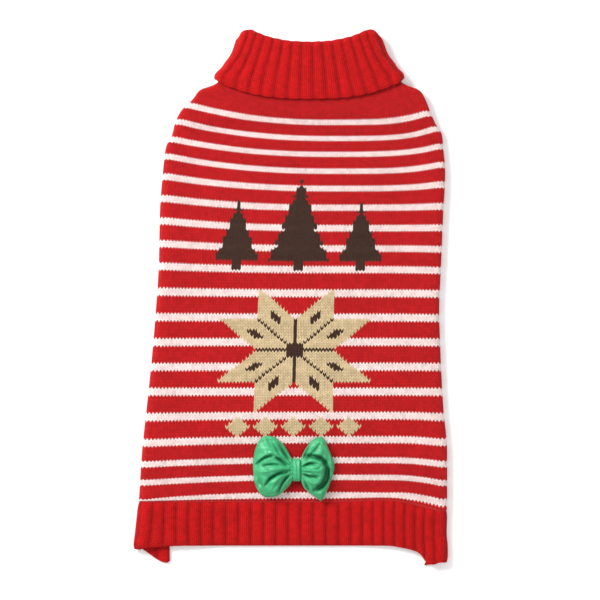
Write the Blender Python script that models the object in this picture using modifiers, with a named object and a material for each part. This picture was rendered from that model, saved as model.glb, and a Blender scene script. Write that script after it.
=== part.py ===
"""Knitted dog sweater laid flat on a table, back up, with a turned-down collar and a satin bow.

Metres, +Z up, the collar points along +Y. The origin lies on the table, under the middle of the
outline's box. Tables and driving dimensions are in millimetres and are scaled once, in the mesh.
"""

import bmesh
import bpy
import numpy as np

MM = 0.001

# Cloth
KNIT = 2.2                 # wall of the striped panels
RIB_WALL = 2.0             # wall of a rib band between its ribs
RIB_RAISE = 1.0            # how far a rib stands proud of that wall
SEAM = 0.3                 # space kept at each seam
LAYER_GAP = 0.4            # space kept between the top layer and what it rests on

# Body, laid flat
FOLD_LOOP = 4.0            # how far a side fold's loop reaches past the flat cloth
FOLD_PUFF = 2.2            # how far the top layer stands up along a side fold
PUFF_WIDTH = 13.0          # how fast that dies out towards the middle
SEAM_RATIO = 0.58          # underside seam, as a share of the half width
NECK_RISE = 8.0            # how much higher the neck seam is at its sides
NECK_SPAN = 64.0           # half width over which it rises
NECK_POWER = 2.2           # how late it rises
NECK_MIDDLE = 158.0        # neck seam at the centre line
NECK_Y = 165.0             # neck seam at its sides
NECK_FADE = 118.0          # knit rows are straight below this
LIFT_FROM, LIFT_TO = 122.0, 148.0     # the body climbs onto the collar's lower layer here
CORNER_RUN = 40.0          # the lowest knit rows bend towards the hem seam over this height
NECK_LIFT = 2.8            # how high the body's underside lies there
NECK_TOP = 7.1             # middle of the top layer there

# Rear opening of the underside, a superellipse arch above the hem seam
HEM_SEAM = -152.25
ARCH_HEIGHT = 90.0
ARCH_MARGIN = 7.5          # from the side fold to the arch band's seam
ARCH_POWER = 4.0
BAND_WIDTH = 20.0          # arch band from its seam to its free edge
SAG_START, SAG_RUN = 4.0, 30.0        # the top layer sinks inside the opening, over this run
FLOOR_GAP = 0.25

# Leg holes, ellipses centred on the underside seams
LEG_Y = 88.0
LEG_LENGTH, LEG_WIDTH = 30.0, 18.0    # half sizes
LEG_BAND = 9.0

# Rows and steps of the panels, closer where the outline turns
ARCH_STEPS, BELLY_STEPS, LEG_STEPS = 9, 8, 8
SHOULDER_ROWS = (124.0, 130.0, 136.0, 141.0, 146.0, 150.0, 153.0, 155.5)

# Collar, a flattened ring about its own centre line
COLLAR_X = 14.1
COLLAR_Z = 5.5
INNER_HALF = 1.6           # middle of the inner tube above the ring's middle plane
OUTER_HALF = 4.5           # middle of the turned-down layer above it
INNER_END, OUTER_END = 3.0, 5.5       # how far the ring's side loops reach
LAYER_STEP = 2.6           # the inner tube is this much narrower each side
TURN_DEPTH = 2.2           # the top roll's depth along Y
COLLAR_RIBS = 32
COLLAR_FLAT = 0.4375       # share of the ring in each flat layer, between its side loops
FREE_MIDDLE, FREE_RISE = 147.9, 15.0  # collar's free edge: centre, and how it rises at the sides
FREE_POWER = 2.6

# Hem band
HEM_RIBS = 26
STATIONS = 3               # points across one rib

# Bow
KNOT_X, KNOT_Y = 4.0, -128.6
KNOT_WIDTH = 6.6
KNOT_WALL = 1.2
KNOT_PLAY = 0.55           # space inside the knot, round the gathered strip
WAIST_THICK = 4.5
WAIST_HALF = 6.6

BODY_OUTLINE = {
    "y":     (-199.5, -187.5, -175.5, -151.5, -117.0, -81.0, -45.0, -9.0, 27.0, 63.0,
              94.5, 112.5, 121.5, 130.5, 139.5, 148.5, 154.5, 159.0, 162.0, 166.0),
    "left":  (-117.4, -117.4, -115.9, -113.6, -111.4, -107.6, -103.9, -100.9, -98.6, -97.9,
              -95.6, -93.4, -88.9, -86.6, -82.1, -73.1, -68.6, -57.0, -53.8, -52.7),
    "right": (117.4, 117.4, 116.6, 117.4, 117.4, 114.4, 112.5, 111.4, 112.9, 114.4,
              115.9, 114.4, 113.6, 108.4, 104.6, 100.9, 97.1, 86.0, 82.0, 80.9),
}

COLLAR_OUTLINE = {
    "y":    (147.0, 162.0, 166.5, 171.0, 175.5, 180.0, 184.5, 189.0, 193.5, 200.5),
    "half": (76.0, 72.8, 71.2, 66.8, 63.8, 60.4, 58.1, 56.6, 54.8, 52.6),
}

COLLAR_ROWS = {
    "inner": (0.0, 0.5),                  # share of the way up the inner tube
    "turn":  (-90, -45, 0, 45, 90),       # degrees round the roll
    "outer": (0.3, 0.62, 0.9, 1.0),       # share of the way down the turned-down layer
    "raised": (0.0, 0.0, 0.0, 0.15, 0.5, 0.85, 1.0, 1.0, 1.0, 1.0, 0.6),
}

COLLAR_TOP = {
    "across": (0.0, 0.25, 0.42, 0.57, 0.72, 0.84, 0.93, 1.0),
    "y":      (192.0, 192.5, 193.8, 195.6, 198.2, 200.6, 198.8, 192.0),
}

HEM_SEAM_LINE = {
    "across": (-1.0, 0.3, 0.64, 0.84, 1.0),
    "y":      (-152.25, -152.25, -150.9, -154.5, -159.0),
}

# Lower edge of the hem band. A station runs from the left underside edge (-2) round the left
# fold (-1), over the top, round the right fold (1), to the right underside edge (2).
HEM_FREE_EDGE = {
    "station": (-2.0, -1.9, -1.0, -0.86, -0.7, 0.64, 0.75, 0.84, 0.875, 0.92, 1.0, 1.5, 2.0),
    "y":       (-197.0, -198.5, -187.5, -186.2, -185.6, -185.6, -187.3, -190.0, -194.5, -198.5,
                -199.2, -200.5, -199.5),
}
HEM_ROWS = {
    "down":   (0.0, 0.12, 0.5, 0.85, 1.0),
    "raised": (0.4, 1.0, 1.0, 1.0, 0.6),
}
TAB_LEFT = (26.0, 27.0)    # underside part of the hem band, from the fold: at its seam, at its edge
TAB_RIGHT = (26.0, 17.4)

BOW_SECTIONS = {
    "x":     (-28.1, -27.2, -24.5, -21.7, -17.5, -12.0, -8.0, -4.5, -1.2, 0.2, 4.0, 7.8, 9.2, 11.8,
              15.6, 19.5, 22.8, 25.2, 28.3, 31.4, 32.8),
    "low":   (-128.5, -137.5, -144.0, -147.4, -149.0, -148.8, -147.0, -143.6, -138.8, -135.2,
              -135.2, -135.2, -141.7, -145.0, -147.3, -149.6, -151.7, -148.8, -142.3, -133.5,
              -128.5),
    "high":  (-123.0, -116.0, -108.5, -104.8, -103.0, -104.0, -107.0, -110.5, -115.3, -122.0,
              -122.0, -122.0, -114.5, -111.0, -106.3, -104.6, -104.3, -105.3, -112.3, -120.0,
              -123.5),
    "thick": (1.6, 3.6, 6.4, 8.2, 9.8, 10.0, 9.0, 7.4, 5.4, 4.5, 4.5, 4.5, 5.6, 7.4, 9.4, 10.2,
              10.0, 8.6, 6.2, 3.4, 1.6),
}

BOW_AROUND = 24            # points round one section of the bow
BOW_PLEATS = 5             # gathers on the top of each lobe
PLEAT_DEPTH = 0.16         # their depth, as a share of the lobe's thickness
PLEAT_REACH = 9.0          # where they are deepest, from the knot

FINISHES = {
    "knit_striped": ((0.55, 0.016, 0.018), 0.92),
    "rib_red":      ((0.54, 0.010, 0.012), 0.90),
    "satin_green":  ((0.05, 0.48, 0.21), 0.35),
}


def along(table, key, column, at):
    """Value of a table's column at the given places, by a monotone cubic through its rows."""
    xs = np.array(table[key], dtype=float)
    ys = np.array(table[column], dtype=float)
    at = np.clip(at, xs[0], xs[-1])
    slope = np.diff(ys) / np.diff(xs)
    same_way = slope[:-1] * slope[1:] > 0
    total = np.where(same_way, slope[:-1] + slope[1:], 1.0)
    inside = np.where(same_way, 2 * slope[:-1] * slope[1:] / total, 0.0)
    tangent = np.concatenate((slope[:1], inside, slope[-1:]))
    i = np.clip(np.searchsorted(xs, at, side="right") - 1, 0, len(xs) - 2)
    step = xs[i + 1] - xs[i]
    t = (at - xs[i]) / step
    return (ys[i] * (1 + 2 * t) * (1 - t) ** 2 + ys[i + 1] * t * t * (3 - 2 * t)
            + step * t * (1 - t) * (tangent[i] * (1 - t) - tangent[i + 1] * t))


def ease(t):
    """Smooth step from 0 to 1."""
    t = np.clip(t, 0.0, 1.0)
    return t * t * (3 - 2 * t)


def middle_and_half(y):
    """Centre line and half width of the body's outline at y."""
    left = along(BODY_OUTLINE, "y", "left", y)
    right = along(BODY_OUTLINE, "y", "right", y)
    return (left + right) / 2, (right - left) / 2


def neck_rise(distance):
    """How much higher the neck seam is at this distance from the collar's centre line."""
    return NECK_RISE * (np.abs(distance) / NECK_SPAN) ** NECK_POWER


def climb(y):
    """Share of the body's climb onto the collar's lower layer."""
    return ease((y - LIFT_FROM) / (LIFT_TO - LIFT_FROM))


def opening_depth(x, y):
    """How far inside the rear opening a point is, negative outside it."""
    middle, half = middle_and_half(y)
    width = half - ARCH_MARGIN - BAND_WIDTH
    height = ARCH_HEIGHT - BAND_WIDTH
    up = np.clip(y - HEM_SEAM, 0.0, None) / height
    reach = (np.abs((x - middle) / width) ** ARCH_POWER + up ** ARCH_POWER) ** (1 / ARCH_POWER)
    return (1 - reach) * height


def top_layer(x, y, wall):
    """Middle of the top layer: on the layer below, climbing to the neck, sunk over the opening."""
    rest = KNIT + LAYER_GAP + wall / 2
    sink = ease((opening_depth(x, y) - SAG_START) / SAG_RUN)
    return rest + climb(y) * (NECK_TOP - rest) - sink * (rest - wall / 2 - FLOOR_GAP)


def puff(y):
    """How far the side folds stand up; they are pressed flat under the collar."""
    return FOLD_PUFF * (1 - climb(y))


def columns(under, fold, across):
    """Stations of a section: side, share from seam to fold, turn round the fold, place on top.

    They run from the left underside edge round the left fold, over the top and round the right
    fold to the right underside edge.
    """
    rise = np.linspace(0.0, 1.0, under + 1)[:-1]
    turn = np.linspace(-90.0, 90.0, fold + 1)[:-1]
    left = [(-1, k, -90.0, -1.0) for k in rise] + [(-1, 1.0, a, -1.0) for a in turn]
    top = [(np.sign(s), 1.0, 90.0, s) for s in across]
    right = [(1, k, a, 1.0) for _, k, a, _ in reversed(left)]
    return np.array(left + top + right)


def section_points(stations, y, edge, wall):
    """Middle of the cloth at each station and row of y; edge is the underside edge's distance."""
    side, share, turn, across = (stations[:, i, None] for i in range(4))
    middle, half = middle_and_half(y)
    start = half - wall / 2 - FOLD_LOOP
    angle = np.radians(turn)
    on_top = turn > 89.9
    below = side * (edge + share * (start - edge) + FOLD_LOOP * np.cos(angle))
    x = middle + np.where(on_top, across * start, below)
    low = NECK_LIFT * climb(y) + wall / 2 + 0 * x
    puffed = puff(y) * np.exp(-((1 - np.abs(across)) * start / PUFF_WIDTH) ** 2)
    high = top_layer(x, y, wall) + puffed
    z = np.where(on_top, high, (low + high) / 2 + (high - low) / 2 * np.sin(angle))
    return np.stack((x, y + 0 * x, z), axis=-1)


def arch_rise(angle):
    """Share of the rear opening's height at an angle, 0 at its foot and 90 degrees at its top."""
    return np.sin(angle) ** (2 / ARCH_POWER)


def arch_half(y):
    """Half width of the rear opening's seam at height y."""
    half = middle_and_half(y)[1]
    up = np.clip((y - HEM_SEAM) / ARCH_HEIGHT, 0.0, 1.0)
    return (half - ARCH_MARGIN) * (1 - up ** ARCH_POWER) ** (1 / ARCH_POWER)


def arch_angle_at_seam():
    """Angle on the arch at which it meets the underside seams, found by halving."""
    low, high = 0.0, np.pi / 2
    for _ in range(40):
        angle = (low + high) / 2
        y = HEM_SEAM + ARCH_HEIGHT * arch_rise(angle)
        seam = SEAM_RATIO * middle_and_half(y)[1]
        low, high = (angle, high) if arch_half(y) > seam else (low, angle)
    return low


def leg_notch(y):
    """Half width of a leg hole at height y, 0 outside it."""
    return LEG_WIDTH * np.sqrt(np.clip(1 - ((y - LEG_Y) / LEG_LENGTH) ** 2, 0.0, 1.0))


def grid_faces(columns_count, rows_count, closed):
    """Quads of a grid whose vertex (column, row) has the index column * rows + row."""
    last = columns_count if closed else columns_count - 1
    faces = []
    for i in range(last):
        a, b = i * rows_count, (i + 1) % columns_count * rows_count
        faces += [(a + j, b + j, b + j + 1, a + j + 1) for j in range(rows_count - 1)]
    return faces


def add_object(name, points, faces, finish):
    """Object from points in millimetres, with its faces turned outwards."""
    mesh = bpy.data.meshes.new(name)
    mesh.from_pydata((points.reshape(-1, 3) * MM).tolist(), [], faces)
    build = bmesh.new()
    build.from_mesh(mesh)
    bmesh.ops.recalc_face_normals(build, faces=build.faces)
    build.to_mesh(mesh)
    build.free()
    mesh.shade_smooth()
    mesh.set_sharp_from_angle(angle=np.radians(50))
    mesh.materials.append(material(finish))
    obj = bpy.data.objects.new(name, mesh)
    bpy.data.collections["dog_sweater"].objects.link(obj)
    return obj


def add_sheet(name, points, finish, wall, closed=False):
    """Plain cloth: the grid is the middle of its wall, thickened evenly both ways."""
    faces = grid_faces(points.shape[0], points.shape[1], closed)
    obj = add_object(name, points, faces, finish)
    thicken = obj.modifiers.new("wall", "SOLIDIFY")
    thicken.thickness = wall * MM
    thicken.offset = 0.0
    return obj


def normals(points, closed):
    """Unit normals of a grid, by central differences, pointing to the left of its columns."""
    if closed:
        across = np.roll(points, -1, axis=0) - np.roll(points, 1, axis=0)
    else:
        across = np.gradient(points, axis=0)
    found = np.cross(np.gradient(points, axis=1), across)
    return found / np.linalg.norm(found, axis=-1, keepdims=True)


def add_ribbed(name, points, raised, finish, closed):
    """Ribbed cloth: a plain inner face, and an outer face raised by the given heights."""
    out = normals(points, closed)
    inner = points - out * RIB_WALL / 2
    outer = points + out * (RIB_WALL / 2 + raised[..., None])
    outer[..., 2] = np.maximum(outer[..., 2], 0.0)
    inner[..., 2] = np.maximum(inner[..., 2], 0.0)
    count, rows = points.shape[:2]
    shell = grid_faces(count, rows, closed)
    size = count * rows
    faces = shell + [tuple(size + v for v in reversed(face)) for face in shell]
    last = count if closed else count - 1
    for i in range(last):
        a, b = i * rows, (i + 1) % count * rows
        faces.append((a, size + a, size + b, b))
        faces.append((a + rows - 1, b + rows - 1, size + b + rows - 1, size + a + rows - 1))
    if not closed:
        end = (count - 1) * rows
        for j in range(rows - 1):
            faces.append((j, j + 1, size + j + 1, size + j))
            faces.append((end + j, size + end + j, size + end + j + 1, end + j + 1))
    return add_object(name, np.concatenate((outer.reshape(-1, 3), inner.reshape(-1, 3))),
                      faces, finish)


def rib_heights(count):
    """Heights across a run of ribs: each rib is a groove and then a flat crest."""
    return RIB_RAISE * (np.arange(count) % STATIONS > 0)


def panel_rows():
    """Rows that the back and the belly share, so that their seams match point for point."""
    at_seam = arch_angle_at_seam()
    arch = HEM_SEAM + ARCH_HEIGHT * arch_rise(np.linspace(0, at_seam, ARCH_STEPS))
    flank = np.linspace(arch[-1], LEG_Y - LEG_LENGTH, 7)[1:-1]
    leg = LEG_Y - LEG_LENGTH * np.cos(np.linspace(0, np.pi, LEG_STEPS + 1))
    return arch, np.concatenate((flank, leg, SHOULDER_ROWS, (NECK_MIDDLE - SEAM,)))


def curved_rows(rows, distance):
    """Rows that are straight on the body and follow the neck seam towards the collar."""
    fade = ease((rows - NECK_FADE) / (NECK_MIDDLE - SEAM - NECK_FADE))
    return rows[None, :] + fade[None, :] * neck_rise(distance)[:, None]


def back_panel():
    """Striped panel from one underside seam round both folds to the other."""
    across = np.sin(np.radians(np.linspace(-90, 90, 23)))
    stations = columns(4, 6, across)
    arch, upper = panel_rows()
    rows = np.concatenate((arch, upper))
    neck_half = middle_and_half(NECK_Y)[1]
    at_neck = section_points(stations, np.full((len(stations), 1), NECK_Y),
                             SEAM_RATIO * neck_half, KNIT)
    distance = at_neck[:, 0, 0] - middle_and_half(NECK_Y)[0]
    y = curved_rows(rows, distance)
    to_seam = along(HEM_SEAM_LINE, "across", "y", stations[:, 3]) + SEAM - HEM_SEAM
    y = y + to_seam[:, None] * (1 - ease((rows - HEM_SEAM) / CORNER_RUN))[None, :]
    half = middle_and_half(y)[1]
    edge = np.maximum(SEAM_RATIO * half + leg_notch(y), arch_half(y)) + SEAM / 2
    return add_sheet("back_panel", section_points(stations, y, edge, KNIT), "knit_striped", KNIT)


def belly_panel():
    """Striped panel of the underside, from the rear opening's arch to the neck."""
    at_seam = arch_angle_at_seam()
    angle = np.linspace(at_seam, np.pi / 2, BELLY_STEPS)
    share = np.abs(np.cos(angle)) ** (2 / ARCH_POWER)
    share = share / share[0]
    share[-1] = 0.0
    share = np.concatenate((-share, share[-2::-1]))
    arch_y = HEM_SEAM + ARCH_HEIGHT * arch_rise(angle) + SEAM
    start = np.concatenate((arch_y, arch_y[-2::-1]))
    upper = panel_rows()[1]
    neck_half = middle_and_half(NECK_Y)[1]
    distance = share * SEAM_RATIO * neck_half
    y = np.concatenate((start[:, None], curved_rows(upper, distance)), axis=1)
    middle, half = middle_and_half(y)
    reach = SEAM_RATIO * half - leg_notch(y) - SEAM / 2
    x = middle + share[:, None] * reach
    z = NECK_LIFT * climb(y) + KNIT / 2
    return add_sheet("belly_panel", np.stack((x, y, z), axis=-1), "knit_striped", KNIT)


def arch_band():
    """Rib band up one side of the rear opening, across the belly's edge and down the other."""
    at_seam = arch_angle_at_seam()
    leg = np.linspace(0, at_seam, ARCH_STEPS)
    half_top = np.linspace(at_seam, np.pi / 2, BELLY_STEPS)[1:]
    left = np.concatenate((leg, half_top))
    up = np.concatenate((arch_rise(left), arch_rise(left[-2::-1])))
    reach = np.abs(np.cos(left)) ** (2 / ARCH_POWER)
    out = np.concatenate((-reach, reach[-2::-1]))
    lines = []
    for inset in np.linspace(SEAM / 2, BAND_WIDTH, 3):
        y = HEM_SEAM + SEAM + (ARCH_HEIGHT - inset - SEAM) * up
        middle, half = middle_and_half(y)
        x = middle + out * (half - ARCH_MARGIN - inset)
        low = np.array(((x[-1], HEM_SEAM_LINE["y"][-1] + SEAM),))
        lines.append(np.concatenate((np.stack((x, y), axis=-1), low)))
    flat = np.stack(lines, axis=1)
    points = np.concatenate((flat, np.full(flat.shape[:2] + (1,), KNIT / 2)), axis=-1)
    return add_sheet("arch_band", points, "rib_red", KNIT)


def leg_band(name, side):
    """Rib trim round one leg hole, lying flat."""
    angle = np.linspace(0, 2 * np.pi, 2 * LEG_STEPS + 1)[:-1]
    y_ring = LEG_Y - LEG_LENGTH * np.cos(angle)
    middle, half = middle_and_half(y_ring)
    seam_x = middle + side * SEAM_RATIO * half
    centre = np.stack((seam_x, np.full_like(seam_x, LEG_Y)), axis=-1)
    rim = np.stack((LEG_WIDTH * np.sin(angle), -LEG_LENGTH * np.cos(angle)), axis=-1)
    lines = []
    for inset in (SEAM / 2, LEG_BAND / 2, LEG_BAND):
        scale = np.array((1 - inset / LEG_WIDTH, 1 - inset / LEG_LENGTH))
        lines.append(centre + rim * scale)
    flat = np.stack(lines, axis=1)
    points = np.concatenate((flat, np.full(flat.shape[:2] + (1,), KNIT / 2)), axis=-1)
    return add_sheet(name, points, "rib_red", KNIT, closed=True)


def hem_band():
    """Rib band across the back's lower edge, turned under at both corners."""
    across = np.linspace(-1, 1, HEM_RIBS * STATIONS + 1)
    stations = columns(3, 5, across)
    side, share, turn, place = stations.T
    on_top = turn > 89
    in_fold = (share == 1) & ~on_top
    around = np.where(share < 1, side * (2 - share), place)
    around = np.where(in_fold, side * (1 + 0.1 * (90 - turn) / 180), around)
    seam_y = along(HEM_SEAM_LINE, "across", "y", place)
    free_y = along(HEM_FREE_EDGE, "station", "y", around)
    down = np.array(HEM_ROWS["down"])
    y = seam_y[:, None] + (free_y - seam_y)[:, None] * down[None, :]
    half = middle_and_half(y)[1]
    width_left = TAB_LEFT[0] + (TAB_LEFT[1] - TAB_LEFT[0]) * down
    width_right = TAB_RIGHT[0] + (TAB_RIGHT[1] - TAB_RIGHT[0]) * down
    width = np.where(side[:, None] < 0, width_left[None, :], width_right[None, :])
    points = section_points(stations, y, half - width, RIB_WALL)
    raised = np.zeros(len(stations))
    raised[on_top] = rib_heights(on_top.sum())
    raised = raised[:, None] * np.array(HEM_ROWS["raised"])[None, :]
    return add_ribbed("hem_band", points, raised, "rib_red", closed=False)


def collar():
    """Rib tube from the neck seam up to its roll, and turned down over itself."""
    count = COLLAR_RIBS * STATIONS
    place = (np.arange(count) + 0.5) / count
    knots = (0.0, COLLAR_FLAT, 0.5, 0.5 + COLLAR_FLAT, 1.0)
    across = np.interp(place, knots, (1.0, -1.0, -1.0, 1.0, 1.0))
    turn = np.radians(np.interp(place, knots, (90.0, 90.0, 270.0, 270.0, 450.0)))
    out, height = np.cos(turn), np.sin(turn)
    loop = OUTER_END / COLLAR_OUTLINE["half"][-2]
    aside = np.abs(across) * (1 - loop) + np.abs(out) * loop
    top_y = along(COLLAR_TOP, "across", "y", aside) - RIB_WALL / 2 - TURN_DEPTH
    free_y = FREE_MIDDLE + FREE_RISE * aside ** FREE_POWER

    def ring(y, layer):
        """Ring of points at y; layer runs from -1, the inner tube, to 1, the turned-down part."""
        mix = (1 + layer) / 2
        reach = INNER_END + mix * (OUTER_END - INNER_END)
        rise = INNER_HALF + mix * (OUTER_HALF - INNER_HALF)
        half = along(COLLAR_OUTLINE, "y", "half", y) - RIB_RAISE - RIB_WALL / 2
        half = half - (1 - mix) * LAYER_STEP
        x = COLLAR_X + across * (half - reach) + reach * out
        return np.stack((x, y, COLLAR_Z + rise * height), axis=-1)

    neck_half = along(COLLAR_OUTLINE, "y", "half", NECK_Y) - LAYER_STEP - RIB_RAISE - RIB_WALL / 2
    neck_y = NECK_MIDDLE + neck_rise(np.abs(across) * (neck_half - INNER_END)
                                     + INNER_END * np.abs(out))
    rings = [ring(neck_y + (top_y - neck_y) * t, -1) for t in COLLAR_ROWS["inner"]]
    for angle in np.radians(COLLAR_ROWS["turn"]):
        turned = ring(top_y, np.sin(angle))
        turned[:, 1] += TURN_DEPTH * np.cos(angle)
        rings.append(turned)
    rings += [ring(top_y + (free_y - top_y) * t, 1) for t in COLLAR_ROWS["outer"]]
    points = np.stack(rings, axis=1)
    heights = rib_heights(count)[:, None] * np.array(COLLAR_ROWS["raised"])[None, :]
    heights = heights * ease((height[:, None] + 0.5) / 0.5)
    return add_ribbed("collar", points[::-1], heights[::-1], "rib_red", closed=True)


def bow():
    """Satin bow: rings across a strip that is full in its lobes and gathered at the knot."""
    x, low, high, thick = (np.array(column)[:, None] for column in BOW_SECTIONS.values())
    turn = np.radians(np.linspace(0, 360, BOW_AROUND + 1)[:-1])[None, :]
    y = (low + high) / 2 + (high - low) / 2 * np.cos(turn)
    from_knot = np.abs(x - KNOT_X)
    gather = np.exp(-(from_knot / 5.5) ** 4)
    lift = (KNOT_WALL + SEAM) * np.exp(-(from_knot / 7.0) ** 6)
    bed = top_layer(x, y, KNIT) + KNIT / 2 + SEAM + lift
    fan = np.exp(-((from_knot - PLEAT_REACH) / PLEAT_REACH) ** 2)
    pleat = 1 - PLEAT_DEPTH * fan * (0.5 - 0.5 * np.cos(2 * BOW_PLEATS * turn))
    rim = thick * (0.15 + 0.35 * gather)
    above = np.sin(turn) * (thick - rim) * (pleat * (1 - gather) + gather)
    z = bed + rim + np.where(np.sin(turn) > 0, above, rim * np.sin(turn))
    points = np.stack((x + 0 * y, y, z), axis=-1).transpose(1, 0, 2)
    sections = points.shape[1]
    first = [i * sections for i in range(BOW_AROUND)]
    last = [i + sections - 1 for i in reversed(first)]
    faces = grid_faces(BOW_AROUND, sections, True) + [tuple(first), tuple(last)]
    return add_object("bow", points, faces, "satin_green")


def bow_knot():
    """Satin band round the bow's gathered middle."""
    turn = np.radians(np.linspace(0, 360, 21)[:-1])[:, None]
    profile = np.radians(np.linspace(0, 360, 9)[:-1])[None, :]
    across = np.sign(np.cos(profile)) * np.abs(np.cos(profile)) ** 0.6
    stand = KNOT_WALL * (0.5 + 0.5 * np.sin(profile))
    hole_half = WAIST_HALF + KNOT_PLAY
    hole_tall = WAIST_THICK / 2 + KNOT_PLAY
    bed = top_layer(np.array(KNOT_X), np.array(KNOT_Y), KNIT) + KNIT / 2 + SEAM
    centre_z = bed + KNOT_WALL + SEAM + WAIST_THICK / 2
    y = KNOT_Y + (hole_half + stand) * np.cos(turn)
    z = centre_z + (hole_tall + stand) * np.sin(turn)
    x = KNOT_X + KNOT_WIDTH / 2 * across + 0 * turn
    points = np.stack((x, y, z), axis=-1)
    around, rows = points.shape[:2]
    faces = grid_faces(around, rows, True)
    for i in range(around):
        a, b = i * rows, (i + 1) % around * rows
        faces.append((a + rows - 1, b + rows - 1, b, a))
    return add_object("bow_knot", points, faces, "satin_green")


def material(name):
    """Principled material of a finish, made once."""
    found = bpy.data.materials.get(name)
    if found:
        return found
    colour, rough = FINISHES[name]
    found = bpy.data.materials.new(name)
    found.use_nodes = True
    shader = found.node_tree.nodes["Principled BSDF"]
    shader.inputs["Base Color"].default_value = (*colour, 1.0)
    shader.inputs["Roughness"].default_value = rough
    shader.inputs["Metallic"].default_value = 0.0
    return found


def clear_scene():
    """Removes what the file holds and makes the collection."""
    for obj in list(bpy.data.objects):
        bpy.data.objects.remove(obj)
    bpy.context.scene.collection.children.link(bpy.data.collections.new("dog_sweater"))


def main():
    clear_scene()
    back_panel()
    belly_panel()
    arch_band()
    leg_band("leg_band_left", -1)
    leg_band("leg_band_right", 1)
    hem_band()
    collar()
    bow()
    bow_knot()


if __name__ == "__main__":
    main()
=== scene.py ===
"""Looks of a knitted dog sweater, laid flat on a table with its back up.

Lengths are millimetres until a mesh is made, which turns them into metres. +Y runs towards the
collar, +X to the right and +Z up from the table. Cloth carries UVs that count stitches: u counts
wales, the columns of knitting, and v counts courses, its rows.
"""

import logging
from dataclasses import dataclass
from enum import Enum

import bpy
import numpy as np
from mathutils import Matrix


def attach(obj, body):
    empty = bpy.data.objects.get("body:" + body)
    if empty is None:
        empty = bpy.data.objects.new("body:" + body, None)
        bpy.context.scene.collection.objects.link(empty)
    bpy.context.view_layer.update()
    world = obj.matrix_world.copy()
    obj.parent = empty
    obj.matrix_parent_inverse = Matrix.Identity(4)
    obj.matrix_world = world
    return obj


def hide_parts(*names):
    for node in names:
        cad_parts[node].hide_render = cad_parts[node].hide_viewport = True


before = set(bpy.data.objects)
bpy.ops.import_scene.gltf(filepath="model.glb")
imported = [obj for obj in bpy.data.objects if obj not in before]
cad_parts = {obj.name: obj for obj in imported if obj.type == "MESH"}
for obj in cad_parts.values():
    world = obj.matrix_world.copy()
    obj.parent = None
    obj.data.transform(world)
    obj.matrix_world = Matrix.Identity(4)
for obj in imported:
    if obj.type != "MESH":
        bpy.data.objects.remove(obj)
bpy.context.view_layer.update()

MM = 0.001
BODY = "root"
SIDES = ((-1, "left"), (1, "right"))
TOP_TURN = 90.0
SHARP_ANGLE = 60.0
LOG = logging.getLogger("dog_sweater")

Grid = np.ndarray
Colour = tuple[float, float, float]
Point = tuple[float, float]
Row = tuple[float, ...]
Surface = tuple[tuple[str, float | Row], ...]
Material = bpy.types.Material
Piece = bpy.types.Object
Tree = bpy.types.NodeTree


# ---------------- numbers


def ease(t: Grid) -> Grid:
    """Smooth step: 0 below 0, 1 above 1, and 3t² − 2t³ between."""
    t = np.clip(t, 0.0, 1.0)
    return t * t * (3 - 2 * t)


def bell(t: Grid) -> Grid:
    """Bell curve, e to the minus t squared."""
    return np.exp(-np.square(t))


def step_over(value: Grid, span: Point) -> Grid:
    """Smooth step of a value over a span, given by its start and its length."""
    return ease((value - span[0]) / span[1])


def bell_at(value: Grid, span: Point) -> Grid:
    """Bell of a value over a span, given by its middle and its width."""
    return bell((value - span[0]) / span[1])


def joined(*parts: Grid) -> Grid:
    """Coordinates, broadcast to one shape and put side by side in a new last axis."""
    return np.stack(np.broadcast_arrays(*parts), axis=-1)


@dataclass(frozen=True)
class Profile:
    """A smooth line through a short table: values at places, joined by a monotone cubic."""

    places: Row
    values: Row

    def at(self, place: Grid | float) -> Grid:
        """Value at each place.

        The slope at a row is the harmonic mean of its two neighbours' slopes, or none where the
        line turns, so the line never overshoots; a Hermite cubic joins each pair of rows.

        Args:
            place: Where to read the line; places outside the table give its end values.

        Returns:
            The values, in the shape of place.
        """
        xs = np.array(self.places, dtype=float)
        ys = np.array(self.values, dtype=float)
        place = np.clip(place, xs[0], xs[-1])
        slope = np.diff(ys) / np.diff(xs)
        same_way = slope[:-1] * slope[1:] > 0
        total = np.where(same_way, slope[:-1] + slope[1:], 1.0)
        inside = np.where(same_way, 2 * slope[:-1] * slope[1:] / total, 0.0)
        tangent = np.concatenate((slope[:1], inside, slope[-1:]))
        i = np.clip(np.searchsorted(xs, place, side="right") - 1, 0, len(xs) - 2)
        step = xs[i + 1] - xs[i]
        t = (place - xs[i]) / step
        return (ys[i] * (1 + 2 * t) * (1 - t) ** 2 + ys[i + 1] * t * t * (3 - 2 * t)
                + step * t * (1 - t) * (tangent[i] * (1 - t) - tangent[i + 1] * t))


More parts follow.
